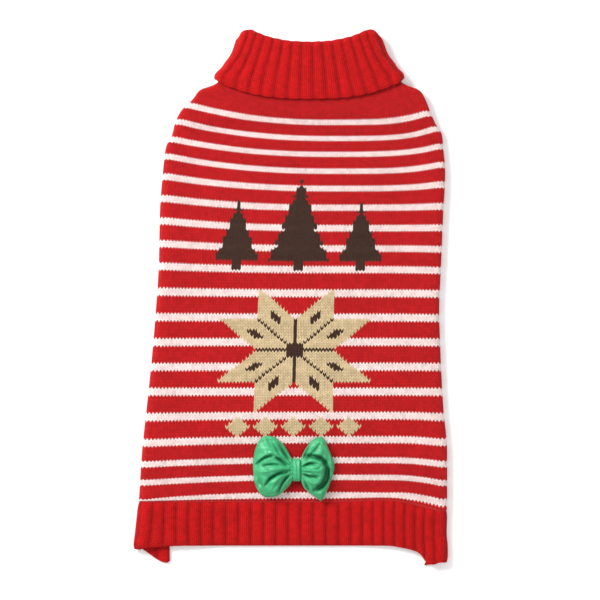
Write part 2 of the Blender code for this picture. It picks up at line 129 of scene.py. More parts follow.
@dataclass(frozen=True)
class Crease:
    """A soft ridge, or a trough where its height is negative, along a bent line on the cloth."""

    start: Point
    bend: Point
    end: Point
    width: float
    height: float
    samples: int = 28
    end_gap: float = 0.02

    @classmethod
    def table(cls, *rows: Row) -> tuple["Crease", ...]:
        """Creases from rows: X and Y of the start, bend and end, then width and height."""
        return tuple(cls(row[:2], row[2:4], row[4:6], *row[6:]) for row in rows)

    def lift(self, x: Grid, y: Grid) -> Grid:
        """Height that the crease adds over each point.

        The line is the quadratic curve from start to end that leans towards bend. The height is
        the largest, over samples of it, of a bell of the distance over the width, times the
        square root of a half sine that fades it in and out at the ends.

        Args:
            x: Places across the cloth.
            y: Places along it.

        Returns:
            Heights in the shape of x.
        """
        t = np.linspace(self.end_gap, 1 - self.end_gap, self.samples)[:, None]
        a, b, c = (np.array(p, dtype=float)[None, :] for p in (self.start, self.bend, self.end))
        line = a * (1 - t) ** 2 + 2 * b * t * (1 - t) + c * t * t
        fade = np.sqrt(np.sin(np.pi * t[:, 0]))
        found = np.zeros(np.broadcast(x, y).shape)
        for (px, py), strength in zip(line, fade):
            apart = np.hypot(x - px, y - py) / self.width
            found = np.maximum(found, strength * bell(apart))
        return self.height * found


def total_lift(creases: tuple[Crease, ...], x: Grid, y: Grid) -> Grid:
    """Sum of what several creases add over each point."""
    return sum((crease.lift(x, y) for crease in creases), np.zeros(np.broadcast(x, y).shape))


def run_length(points: Grid) -> Grid:
    """Distance along each line of points, from its start; the line is the first axis."""
    steps = np.linalg.norm(np.diff(points, axis=0), axis=-1)
    return np.concatenate((np.zeros((1,) + steps.shape[1:]), np.cumsum(steps, axis=0)))


def crowded(count: int, even: float) -> Grid:
    """Places from -1 to 1 that crowd towards both ends: an even share of a line, else a sine."""
    t = np.linspace(-1, 1, count)
    return even * t + (1 - even) * np.sin(t * np.pi / 2)


def rib_shape(phase: Grid, groove: float = 0.23, waist: float = 0.05,
              split: float = 0.07) -> Grid:
    """Height, from 0 to 1, across a two by two rib.

    It is 1 less a bell round each groove, less a shallow bell round the line between the rib's
    two wales.

    Args:
        phase: Place in ribs; whole numbers are the middles of grooves.
        groove: Half width of a groove.
        waist: Depth of the line between the two wales.
        split: Half width of that line.

    Returns:
        Heights in the shape of phase.
    """
    place = phase - np.floor(phase)
    to_groove = np.minimum(place, 1 - place)
    return 1 - bell(to_groove / groove) - waist * bell((place - 0.5) / split)


# ---------------- meshes


def grid_normals(points: Grid, closed: bool) -> Grid:
    """Unit normals of a grid of points, the cross product of its steps across and along.

    Args:
        points: The grid, (columns, rows, 3).
        closed: Whether the last column meets the first.

    Returns:
        Normals, (columns, rows, 3).
    """
    if closed:
        across = np.roll(points, -1, axis=0) - np.roll(points, 1, axis=0)
    else:
        across = np.gradient(points, axis=0)
    found = np.cross(across, np.gradient(points, axis=1))
    size = np.linalg.norm(found, axis=-1, keepdims=True)
    return found / np.maximum(size, 1e-9)


def quads(grid: Grid) -> Grid:
    """Faces of a grid of corners, each from four neighbours, (faces, 4, numbers)."""
    faces = np.stack((grid[:-1, :-1], grid[1:, :-1], grid[1:, 1:], grid[:-1, 1:]), axis=2)
    return faces.reshape(-1, 4, grid.shape[-1])


@dataclass(frozen=True)
class Shell:
    """A thin closed wall between an outer and an inner grid of points, with stitch UVs.

    Columns run to the right and rows run up as seen from outside. A closed shell joins its last
    column to its first, and its UVs have one column more, so that they don't jump there.
    """

    name: str
    outer: Grid
    inner: Grid
    uv: Grid
    closed: bool = False

    def corners(self) -> tuple[Grid, Grid]:
        """Faces as corners (layer, column, row), the outer faces first.

        Each face of a layer joins two columns and two rows. The rims join the layers along the
        first and last row and, where the shell is open, the first and last column.

        Returns:
            The faces, an array (faces, 4, 3), and whether each is an inner face.
        """
        columns, rows = self.outer.shape[:2]
        last = columns if self.closed else columns - 1
        tags = joined(*np.meshgrid(range(2), range(last + 1), range(rows), indexing="ij"))
        ahead, back, turned = [0, 1, 2, 3], [0, 3, 2, 1], [3, 0, 1, 2]
        parts = [(tags[0], ahead), (tags[1], back), (tags[:, :, 0], turned),
                 (tags[:, :, -1], back)]
        if not self.closed:
            parts += [(tags[:, 0], back), (tags[:, -1], turned)]
        faces = np.concatenate([quads(part)[:, order] for part, order in parts])
        layer = last * (rows - 1)
        is_inner = np.zeros(len(faces), dtype=bool)
        is_inner[layer:2 * layer] = True
        return faces, is_inner

    def build(self, *materials: Material) -> Piece:
        """Object of the shell, with its faces turned outwards.

        The enclosed volume, a sixth of the sum of the corners' triple products, tells which way
        the faces point; where it is negative they are reversed.

        Args:
            materials: The outer side's and, if there are two, the inner side's material.

        Returns:
            The new object, linked to the scene.
        """
        faces, is_inner = self.corners()
        columns, rows = self.outer.shape[:2]
        layer, i, j = faces[..., 0], faces[..., 1], faces[..., 2]
        index = layer * columns * rows + (i % columns) * rows + j
        points = np.concatenate((self.outer.reshape(-1, 3), self.inner.reshape(-1, 3))) * MM
        uv = self.uv[i, j]
        a, b, c, d = (points[index[:, k]] for k in range(4))
        volume = (a * np.cross(b, c)).sum() + (a * np.cross(c, d)).sum()
        if volume < 0:
            index, uv = index[:, ::-1], uv[:, ::-1]
        return make_object(self.name, points, index, uv, is_inner, materials)


def make_object(name: str, points: Grid, faces: Grid, uv: Grid, second: Grid,
                materials: tuple[Material, ...]) -> Piece:
    """Object from arrays of points in metres and four-cornered faces.

    Args:
        name: The piece's name.
        points: Corners' places, (points, 3).
        faces: Indices of points, (faces, 4).
        uv: Stitch coordinates of each face's corners, (faces, 4, 2).
        second: Whether a face takes the second material.
        materials: One or two materials.

    Returns:
        The object, smooth shaded but for creases past the sharp angle.
    """
    mesh = bpy.data.meshes.new(name)
    mesh.vertices.add(len(points))
    mesh.vertices.foreach_set("co", points.astype(np.float32).ravel())
    mesh.loops.add(faces.size)
    mesh.loops.foreach_set("vertex_index", faces.astype(np.int32).ravel())
    mesh.polygons.add(len(faces))
    mesh.polygons.foreach_set("loop_start", np.arange(0, faces.size, 4, dtype=np.int32))
    mesh.polygons.foreach_set("loop_total", np.full(len(faces), 4, dtype=np.int32))
    mesh.update(calc_edges=True)
    layer = mesh.uv_layers.new(name="stitches")
    layer.data.foreach_set("uv", uv.astype(np.float32).ravel())
    for item in materials:
        mesh.materials.append(item)
    if len(materials) > 1:
        mesh.polygons.foreach_set("material_index", second.astype(np.int32))
    mesh.shade_smooth()
    mesh.set_sharp_from_angle(angle=np.radians(SHARP_ANGLE))
    mesh.validate()
    obj = bpy.data.objects.new(name, mesh)
    bpy.context.scene.collection.objects.link(obj)
    return obj


def walls(middle: Grid, out: Grid | float, back: Grid | float,
          closed: bool = False) -> tuple[Grid, Grid]:
    """Outer and inner points of cloth round its middle grid.

    Each lies along the grid's normal, by the cloth's half thickness there, and none goes below
    the table.

    Args:
        middle: The cloth's middle, (columns, rows, 3).
        out: Half thickness outwards.
        back: Half thickness inwards.
        closed: Whether the last column meets the first.

    Returns:
        The outer and the inner grid.
    """
    normal = grid_normals(middle, closed)
    out, back = (np.broadcast_to(t, middle.shape[:2])[..., None] for t in (out, back))
    outer, inner = middle + normal * out, middle - normal * back
    outer[..., 2] = np.maximum(outer[..., 2], 0.0)
    inner[..., 2] = np.maximum(inner[..., 2], 0.0)
    return outer, inner


def rounded(rows: int, edge: int, first: bool, last: bool, start: float = 0.35) -> Grid:
    """Share of the wall's thickness at each row, a quarter circle over the rows at free edges.

    Args:
        rows: How many rows the wall has.
        edge: How many of them a rounded edge takes.
        first: Whether the first row is a free edge.
        last: Whether the last row is one.
        start: How far into the circle the edge begins, in rows, so that a rim is left.

    Returns:
        Shares, (rows,).
    """
    share = np.ones(rows)
    turn = np.sqrt(1 - (1 - (np.arange(edge) + start) / edge) ** 2)
    if first:
        share[:edge] = turn
    if last:
        share[rows - edge:] = turn[::-1]
    return share


def finished(obj: Piece, slot: str, *nodes: str) -> Piece:
    """Puts a piece on the body and hides the CAD nodes that it stands for.

    Args:
        obj: The finished piece.
        slot: The record's material slot. Not used.
        nodes: CAD nodes that it replaces.

    Returns:
        The piece.
    """
    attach(obj, BODY)
    if nodes:
        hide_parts(*nodes)
    LOG.info("%s: %d faces", obj.name, len(obj.data.polygons))
    return obj


# ---------------- the sweater's form


@dataclass(frozen=True)
class Stripes:
    """Where the courses of the striped knit lie.

    Each repeat has a run of white courses and then red ones. Course 0 is the lowest white one.
    The stripes' middles on the line where they hang lowest are given from the neck down, with
    how far each rises towards the left and right side and droops at the lower right.
    """

    repeat: int = 9
    white: int = 3
    lowest_course: float = -0.5
    neck_course: float = 181.0
    valley_x: float = 29.6
    left_span: float = 97.5
    right_span: float = 71.0
    left_power: float = 2.2
    right_power: float = 4.0
    droop_x: float = 78.0
    droop_span: float = 30.0
    bunching: float = 0.17
    middle: Row = (
        131, 118.8, 107, 94.3, 81.3, 66.9, 51.5, 36.3, 20.5, 2.7, -15.5, -33.8, -52.3, -71,
        -88.9, -106.9, -122.2, -135, -148.3)
    left_rise: Row = (9.5, 8.3, 6.7, 6.3, 4.9, 3.7, 2.9, 1.9, 1.3, 0.6, 0.2, -0.1, -0.1, 0, -0.5,
                      -1.1, -1.3, -1.6, -1.5)
    right_rise: Row = (4.6, 3.8, 2.7, 2.1, 1.3, 0.4, 0.1, -0.3, -0.3, -0.2, -0.2, 0.1, 0.1, 0.2,
                       0.2, 0.3, 0.3, 0.4, 0.5)
    right_droop: Row = 11 * (0,) + (0.3, 0.3, 0.4, 0.9, 1.5, 2, 2.9, 3.7)

    def courses(self) -> Grid:
        """Course number at each stripe's middle, from the hem up, between hem and neck seam."""
        stripes = np.arange(len(self.middle)) * self.repeat + self.white / 2
        return np.concatenate(((self.lowest_course,), stripes, (self.neck_course,)))

    def bunch(self, course: Grid) -> Grid:
        """Shift, in courses, that makes the white courses lower and the red ones taller.

        It is a sine over each repeat that is 0 in the middle of the white courses.
        """
        return self.bunching * np.sin(2 * np.pi * (course - self.white / 2) / self.repeat)

    def heights(self, x: Grid, hem: Grid, neck: Grid) -> Grid:
        """Y of each line of courses at places across the sweater.

        A stripe's middle rises by a power of the distance left or right of the valley line, and
        droops by the square of the distance past where the right fold begins.

        Args:
            x: Places across, (columns, lines), one for each of the lines that courses() gives.
            hem: Y of the hem seam in each column.
            neck: Y of the neck seam in each column.

        Returns:
            Heights, (columns, lines).
        """
        x = x[:, 1:-1]
        middle, left, right, droop = (np.array(column[::-1])[None, :] for column in (
            self.middle, self.left_rise, self.right_rise, self.right_droop))
        to_left = np.clip((self.valley_x - x) / self.left_span, 0, None)
        to_right = np.clip((x - self.valley_x) / self.right_span, 0, None)
        past = np.clip((x - self.droop_x) / self.droop_span, 0, None)
        found = middle + left * to_left ** self.left_power + right * to_right ** self.right_power
        found = found - droop * past ** 2
        return np.concatenate((hem[:, None], found, neck[:, None]), axis=1)


@dataclass(frozen=True)
class BodyForm:
    """Form of the flattened body, which every piece on it follows.

    It is two layers of knit. The lower one rests on the table, the upper one lies on it, stands
    up a little along both side folds, climbs onto the collar's tube and sinks to the table over
    the rear opening of the underside.
    """

    knit: float = 2.2
    layer_gap: float = 0.4
    fold_loop: float = 4.0
    fold_puff: float = 2.2
    puff_width: float = 13.0
    seam_share: float = 0.58
    hem_seam: float = -152.25
    arch_height: float = 90.0
    arch_margin: float = 7.5
    arch_power: float = 4.0
    arch_foot: float = 0.02
    arch_samples: tuple[int, int] = (400, 800)
    band_width: float = 20.0
    sag_span: Point = (4.0, 30.0)
    floor_gap: float = 0.25
    leg_y: float = 88.0
    leg_length: float = 30.0
    leg_width: float = 18.0
    neck_middle: float = 157.7
    neck_side: float = 165.0
    neck_rise: float = 8.0
    neck_span: float = 64.0
    neck_power: float = 2.2
    neck_lift: float = 2.8
    neck_top: float = 7.1
    climb_span: Point = (122.0, 26.0)
    gather_height: float = 0.2
    gather_across: Point = (14.0, 55.0)
    gather_along: Point = (147.0, 6.0)
    gather_length: float = 1.45
    gather_wander: float = 0.9
    wander_length: float = 9.0
    wave_height: float = 0.12
    wave_base: float = 2.7
    waves: tuple[Row, ...] = ((1.0, 17.0, 31.0, 0.0), (1.0, 29.0, -19.0, 1.3),
                              (0.7, 11.0, 47.0, 2.1))
    fade_in: Point = (-153.0, 7.0)
    fade_out: Point = (136.0, 16.0)
    outline_y: Row = (-199.5, -187.5, -175.5, -151.5, -117, -81, -45, -9, 27, 63, 94.5, 112.5,
                      121.5, 130.5, 139.5, 148.5, 154.5, 159, 162, 166)
    left: Profile = Profile(
        outline_y,
        (-117.4, -117.4, -115.9, -113.6, -111.4, -107.6, -103.9, -100.9, -98.6, -97.9, -95.6,
         -93.4, -88.9, -86.6, -82.1, -73.1, -68.6, -57, -53.8, -52.7))
    right: Profile = Profile(
        outline_y,
        (117.4, 117.4, 116.6, 117.4, 117.4, 114.4, 112.5, 111.4, 112.9, 114.4, 115.9, 114.4,
         113.6, 108.4, 104.6, 100.9, 97.1, 86, 82, 80.9))
    hem_line: Profile = Profile((-1, 0.3, 0.64, 0.84, 1),
                                (-152.25, -152.25, -150.9, -154.5, -159))
    creases: tuple[Crease, ...] = Crease.table(
        (-78, 128, -55, 137, -22, 139, 7, 1.3),
        (-90, 98, -62, 112, -30, 112, 9, 0.9),
        (103, 118, 84, 134, 66, 141, 7, 1.4),
        (106, 88, 88, 102, 52, 108, 10, 0.8),
        (-12, 141, 10, 135, 44, 140, 5.5, 0.7),
        (-92, 60, -84, 20, -90, -22, 11, 0.9),
        (-70, 44, -62, 10, -72, -40, 9, 0.5),
        (96, 52, 90, 12, 98, -34, 10, 1),
        (78, 24, 74, -12, 82, -60, 8, 0.5),
        (-96, -58, -88, -84, -98, -120, 10, 0.9),
        (-78, -96, -70, -118, -76, -143, 7, 0.9),
        (-48, -112, -43, -128, -50, -146, 6, 0.7),
        (44, -108, 52, -126, 48, -145, 6.5, 0.8),
        (74, -84, 84, -112, 78, -143, 8, 1),
        (104, -92, 92, -124, 101, -150, 6, 1.3),
        (-30, -60, 4, -54, 36, -62, 9, 0.4),
        (-62, 84, 0, 76, 70, 84, 13, 0.5),
    )

    def middle_and_half(self, y: Grid | float) -> tuple[Grid, Grid]:
        """Centre line and half width of the outline at y."""
        left, right = self.left.at(y), self.right.at(y)
        return (left + right) / 2, (right - left) / 2

    def climb(self, y: Grid) -> Grid:
        """Share of the climb onto the collar's tube."""
        return step_over(y, self.climb_span)

    def neck_seam(self, distance: Grid) -> Grid:
        """Y of the neck seam at a distance from the collar's centre line, a power curve."""
        reach = np.abs(distance) / self.neck_span
        return self.neck_middle + self.neck_rise * reach ** self.neck_power

    def opening_depth(self, x: Grid, y: Grid) -> Grid:
        """How far inside the rear opening, a superellipse arch, a point is.

        Args:
            x: Places across.
            y: Places along.

        Returns:
            Depths, less than 0 outside the opening.
        """
        middle, half = self.middle_and_half(y)
        width = half - self.arch_margin - self.band_width
        height = self.arch_height - self.band_width
        up = np.clip(y - self.hem_seam, 0.0, None) / height
        reach = np.abs((x - middle) / width) ** self.arch_power + up ** self.arch_power
        return (1 - reach ** (1 / self.arch_power)) * height

    def relief(self, x: Grid, y: Grid) -> Grid:
        """Creases and gentle waves of the upper layer.

        The waves are sines at different slants. They and the creases fade out under the collar
        and towards the hem seam. Small gathers, a sine that wanders, stand along the neck seam,
        just below the collar.

        Args:
            x: Places across.
            y: Places along.

        Returns:
            Heights in the shape of x and y.
        """
        waves = sum(size * np.sin(x / across + y / along + start)
                    for size, across, along, start in self.waves)
        fade = step_over(y, self.fade_in) * (1 - step_over(y, self.fade_out))
        wander = self.gather_wander * np.sin(x / self.wander_length)
        gathers = self.gather_height * (1 + np.sin(x / self.gather_length + wander))
        gathers = gathers * bell_at(x, self.gather_across) * bell_at(y, self.gather_along)
        lift = total_lift(self.creases, x, y) + self.wave_height * (waves + self.wave_base)
        return fade * lift + gathers

    def top_layer(self, x: Grid, y: Grid, wall: float) -> Grid:
        """Height of the upper layer's middle without its creases.

        It rests on the lower layer, climbs by an eased step under the collar, and sinks by
        another to the table over the rear opening.

        Args:
            x: Places across.
            y: Places along.
            wall: The cloth's thickness.

        Returns:
            Heights in the shape of x and y.
        """
        rest = self.knit + self.layer_gap + wall / 2
        sink = step_over(self.opening_depth(x, y), self.sag_span)
        climb = self.climb(y) * (self.neck_top - rest)
        return rest + climb - sink * (rest - wall / 2 - self.floor_gap)

    def arch_half(self, y: Grid) -> Grid:
        """Half width of the rear opening's seam at y, a superellipse."""
        up = np.clip((y - self.hem_seam) / self.arch_height, 0.0, 1.0) ** self.arch_power
        return (1 - up) ** (1 / self.arch_power) * (self.middle_and_half(y)[1] - self.arch_margin)

    def leg_notch(self, y: Grid) -> Grid:
        """Half width of a leg hole at y, an ellipse, 0 outside it."""
        up = (y - self.leg_y) / self.leg_length
        return self.leg_width * np.sqrt(np.clip(1 - up ** 2, 0.0, 1.0))

    def stations(self, under: int, fold: int, across: Grid) -> Grid:
        """Stations of a section: side, share from seam to fold, turn, place on top.

        They run from the left underside edge round the left fold, over the top and round the
        right fold to the right underside edge.

        Args:
            under: Steps on each side of the underside.
            fold: Steps round each fold.
            across: Places on top, from -1 to 1.

        Returns:
            Stations, (stations, 4).
        """
        rise = np.linspace(0.0, 1.0, under + 1)[:-1]
        turn = np.linspace(-TOP_TURN, TOP_TURN, fold + 1)[:-1]
        left = [(-1, k, -TOP_TURN, -1.0) for k in rise] + [(-1, 1.0, a, -1.0) for a in turn]
        top = [(np.sign(s), 1.0, TOP_TURN, s) for s in across]
        right = [(1, k, a, 1.0) for _, k, a, _ in reversed(left)]
        return np.array(left + top + right)

    def section(self, stations: Grid, y: Grid, edge: Grid, wall: float,
                creased: bool = False) -> Grid:
        """Middle of the cloth at each station and row.

        The section is a flattened C: flat below from its edge to the fold, half an ellipse round
        the fold, and the upper layer on top, which stands up near the folds by a bell.

        Args:
            stations: What stations() gives.
            y: Y of each station and row.
            edge: Distance of the underside edge from the centre line.
            wall: The cloth's thickness.
            creased: Whether the creases and waves are added.

        Returns:
            Points, (stations, rows, 3).
        """
        side, share, turn, across = (stations[:, i, None] for i in range(4))
        middle, half = self.middle_and_half(y)
        start = half - wall / 2 - self.fold_loop
        angle = np.radians(turn)
        on_top = turn == TOP_TURN
        below = side * (edge + share * (start - edge) + self.fold_loop * np.cos(angle))
        x = middle + np.where(on_top, across * start, below)
        low = self.neck_lift * self.climb(y) + wall / 2 + 0 * x
        puffed = self.fold_puff * (1 - self.climb(y))
        puffed = puffed * bell((1 - np.abs(across)) * start / self.puff_width)
        high = self.top_layer(x, y, wall) + puffed
        if creased:
            high = high + self.relief(x, y)
        z = np.where(on_top, high, (low + high) / 2 + (high - low) / 2 * np.sin(angle))
        return joined(x, y, z)

    def arch_path(self, count: int) -> tuple[Grid, Grid]:
        """Shares of the rear opening's half width and height along it, evenly by length.

        A superellipse sampled by angle, then read again at equal steps of its length.

        Args:
            count: How many places to give.

        Returns:
            Place across, from -1 to 1, and place up, from 0 to 1.
        """
        few, many = self.arch_samples
        angle = np.concatenate((np.linspace(0, self.arch_foot, few),
                                np.linspace(self.arch_foot, np.pi / 2, many)))
        power = 2 / self.arch_power
        out, up = np.cos(angle).clip(0) ** power, np.sin(angle) ** power
        out = np.concatenate((-out, out[-2::-1]))
        up = np.concatenate((up, up[-2::-1]))
        half = self.middle_and_half(self.hem_seam)[1] - self.arch_margin
        length = run_length(joined(out * half, up * self.arch_height))
        even = np.linspace(0, length[-1], count)
        return np.interp(even, length, out), np.interp(even, length, up)


@dataclass(frozen=True)
class StitchGauge:
    """Size of one stitch on the body: width at some heights, from the hem up."""

    wale: Profile = Profile((-150, -45, 27, 100), (2.72, 2.52, 2.44, 2.40))
    course: float = 2.0
    rib_wales: float = 3.0

    def rib_wale(self, phase: Grid) -> Grid:
        """Wale at a place in ribs, half a wale on, so that a groove is one wale's middle."""
        return phase * self.rib_wales + 0.5


# ---------------- knitted pieces


@dataclass(frozen=True)
class Body:
    """The striped back and belly panels."""

    form: BodyForm = BodyForm()
    stripes: Stripes = Stripes()
    gauge: StitchGauge = StitchGauge()
    under_steps: int = 18
    fold_steps: int = 14
    top_columns: int = 191
    even_columns: float = 0.6
    rows: int = 182
    belly_columns: int = 91
    belly_rows: int = 110
    belly_sides: Point = (-95.0, 100.0)
    arch_points: int = 1201
    arch_reach: float = 1.02
    first_height: float = -150.0
    first_course: float = 1.72
    rounds: int = 6
    seam_gap: float = 0.3

    def course_heights(self, x: Grid, across: Grid, distance: Grid) -> Grid:
        """Y of each grid row, one row to a course, in every column.

        Args:
            x: Place across at each stripe line, (columns, lines).
            across: Share across the hem, from -1 to 1.
            distance: Distance from the collar's centre line at the neck seam.

        Returns:
            Heights, (columns, rows).
        """
        hem = self.form.hem_line.at(across) + self.seam_gap
        lines = self.stripes.heights(x, hem, self.form.neck_seam(distance))
        at = self.stripes.courses()
        rows = np.linspace(at[0], at[-1], self.rows)
        rows = np.clip(rows - self.stripes.bunch(rows), at[0], at[-1])
        return np.stack([Profile(tuple(at), tuple(line)).at(rows) for line in lines])

    def back_rows(self, stations: Grid) -> tuple[Grid, Grid]:
        """Y of every station and row of the back panel, and its underside edge.

        A stripe's height depends on x, and x on the outline at that height, so both are found
        in a few rounds, from straight stripes.

        Args:
            stations: The panel's stations.

        Returns:
            Y, and the edge's distance from the centre line, both (stations, rows).
        """
        form = self.form
        side, share, turn, across = stations.T
        middle, half = form.middle_and_half(form.neck_side)
        edge = form.seam_share * half
        at_neck = form.section(stations, np.full((len(stations), 1), form.neck_side), edge,
                               form.knit)
        distance = at_neck[:, 0, 0] - middle
        reach = np.where(turn == TOP_TURN, across, side)[:, None]
        lines = np.tile(self.stripes.courses()[None, :], (len(stations), 1))
        y_lines = lines * self.first_course + self.first_height
        for _ in range(self.rounds):
            middle, half = form.middle_and_half(y_lines)
            x = middle + reach * half
            hem = form.hem_line.at(across) + self.seam_gap
            y_lines = self.stripes.heights(x, hem, form.neck_seam(distance))
        y = self.course_heights(x, across, distance)
        half = form.middle_and_half(y)[1]
        edge = np.maximum(form.seam_share * half + form.leg_notch(y), form.arch_half(y))
        return y, edge

    def back_panel(self, *materials: Material) -> Piece:
        """The back, from one underside seam round both folds to the other, in one piece.

        Its wales are counted from the middle station, by the length across over their width.

        Args:
            materials: The knit's face and its wrong side.

        Returns:
            The piece.
        """
        form = self.form
        across = crowded(self.top_columns, self.even_columns)
        stations = form.stations(self.under_steps, self.fold_steps, across)
        y, edge = self.back_rows(stations)
        points = form.section(stations, y, edge, form.knit, creased=True)
        outer, inner = walls(points, form.knit / 2, form.knit / 2)
        length = run_length(points)
        centre = len(stations) // 2
        wales = (length - length[centre]) / self.gauge.wale.at(y[centre])
        course = np.linspace(self.stripes.lowest_course, self.stripes.neck_course, self.rows)
        return Shell("back_panel_knit", outer, inner, joined(wales, course)).build(*materials)

    def belly_panel(self, *materials: Material) -> Piece:
        """The belly, between the underside seams, from the rear opening to the neck.

        Columns run straight from the opening's arch to the neck seam, and give way at the leg
        holes. Its courses are those that the back has at its two sides.

        Args:
            materials: The knit's face and its wrong side.

        Returns:
            The piece.
        """
        form = self.form
        share = np.linspace(-1, 1, self.belly_columns)
        arch_out, arch_up = form.arch_path(self.arch_points)
        middle, half = form.middle_and_half(form.hem_seam + form.arch_height * arch_up)
        reach = arch_out * (half - form.arch_margin) / (form.seam_share * half)
        inside = np.abs(reach) <= self.arch_reach
        arch_up = np.interp(share, reach[inside], arch_up[inside])
        arch = form.hem_seam + form.arch_height * arch_up
        neck_half = form.middle_and_half(form.neck_side)[1]
        neck = form.neck_seam(share * form.seam_share * neck_half)
        up = np.linspace(0, 1, self.belly_rows)[None, :]
        y = arch[:, None] + (neck - arch)[:, None] * up
        middle, half = form.middle_and_half(y)
        x = middle + share[:, None] * (form.seam_share * half - form.leg_notch(y))
        z = form.neck_lift * form.climb(y) + form.knit / 2
        points = joined(x, y, z)[::-1]
        outer, inner = walls(points, form.knit / 2, form.knit / 2)
        at = self.stripes.courses()
        sides = np.tile(np.array(self.belly_sides)[:, None], (1, len(at)))
        lines = self.stripes.heights(sides, form.hem_line.at(np.array((-1.0, 1.0))),
                                     np.array((neck[0], neck[0])))
        left, right = (np.interp(y, line, at) for line in lines)
        mix = (share[:, None] + 1) / 2
        course = left * (1 - mix) + right * mix
        course = course + self.stripes.bunch(course)
        uv = joined((x - middle) / self.gauge.wale.at(y), course)[::-1]
        return Shell("belly_panel_knit", outer, inner, uv).build(*materials)


@dataclass(frozen=True)
class UndersideBands:
    """Rib bands round the rear opening and the two leg holes, which lie flat on the table."""

    form: BodyForm = BodyForm()
    gauge: StitchGauge = StitchGauge()
    rib_pitch: float = 9.3
    rib_depth: float = 0.45
    points_per_rib: int = 8
    arch_columns: int = 457
    leg_ribs: int = 14
    trim_width: float = 9.0
    rows: int = 14
    edge_rows: int = 3
    seam_gap: float = 0.3

    def band(self, middle: Grid, phase: Grid, closed: bool, name: str, course: Grid,
             *materials: Material) -> Piece:
        """Flat band whose two faces are both ribbed, thinner in its grooves and at its edge.

        Args:
            middle: The middle of its cloth, (columns, rows, 3).
            phase: Place in ribs of each column.
            closed: Whether it is a ring.
            name: The piece's name.
            course: Course of each row.
            materials: The rib.

        Returns:
            The piece.
        """
        share = rounded(middle.shape[1], self.edge_rows, False, True)[None, :]
        rib = rib_shape(phase)[:middle.shape[0], None]
        thick = (self.form.knit / 2 - self.rib_depth * (1 - rib)) * share
        outer, inner = walls(middle, thick, thick, closed)
        wales = self.gauge.rib_wale(phase[:, None])
        return Shell(name, outer, inner, joined(wales, course), closed).build(*materials)

    def arch_band(self, *materials: Material) -> Piece:
        """Band up one side of the rear opening, across the belly's edge and down the other.

        Each of its rows is the opening's superellipse, inset a little more.

        Args:
            materials: The rib.

        Returns:
            The piece.
        """
        form = self.form
        out, up = form.arch_path(self.arch_columns)
        inset = np.linspace(0.0, form.band_width, self.rows)[None, :]
        height = form.arch_height - inset - self.seam_gap
        y = form.hem_seam + self.seam_gap + height * up[:, None]
        middle, half = form.middle_and_half(y)
        x = middle + out[:, None] * (half - form.arch_margin - inset)
        foot = form.hem_line.at(1.0) + self.seam_gap
        x = np.concatenate((x, x[-1:]))
        y = np.concatenate((y, np.full_like(y[-1:], foot)))
        points = joined(x, y, form.knit / 2)
        phase = run_length(points[:, 0]) / self.rib_pitch
        course = inset / self.gauge.course
        return self.band(points, phase, False, "rear_opening_band", course, *materials)

    def leg_band(self, side: int, name: str, *materials: Material) -> Piece:
        """Trim round one leg hole, an ellipse that narrows inwards.

        Args:
            side: -1 for the left hole, 1 for the right one.
            name: The piece's name.
            materials: The rib.

        Returns:
            The piece.
        """
        form = self.form
        count = self.leg_ribs * self.points_per_rib
        angle = np.linspace(0, 2 * np.pi, count + 1)[:-1]
        rim_y = form.leg_y - form.leg_length * np.cos(angle)
        middle, half = form.middle_and_half(rim_y)
        centre = joined(middle + side * form.seam_share * half, form.leg_y)
        radii = np.array((form.leg_width, form.leg_length))
        rim = radii * joined(np.sin(angle), -np.cos(angle))
        inset = np.linspace(0.0, self.trim_width, self.rows)[:, None]
        flat = centre[:, None, :] + rim[:, None, :] * (1 - inset / radii)[None, :, :]
        points = joined(flat[..., 0], flat[..., 1], form.knit / 2)
        phase = np.arange(count + 1) / self.points_per_rib
        course = inset[None, :, 0] / self.gauge.course
        return self.band(points, phase, True, name, course, *materials)


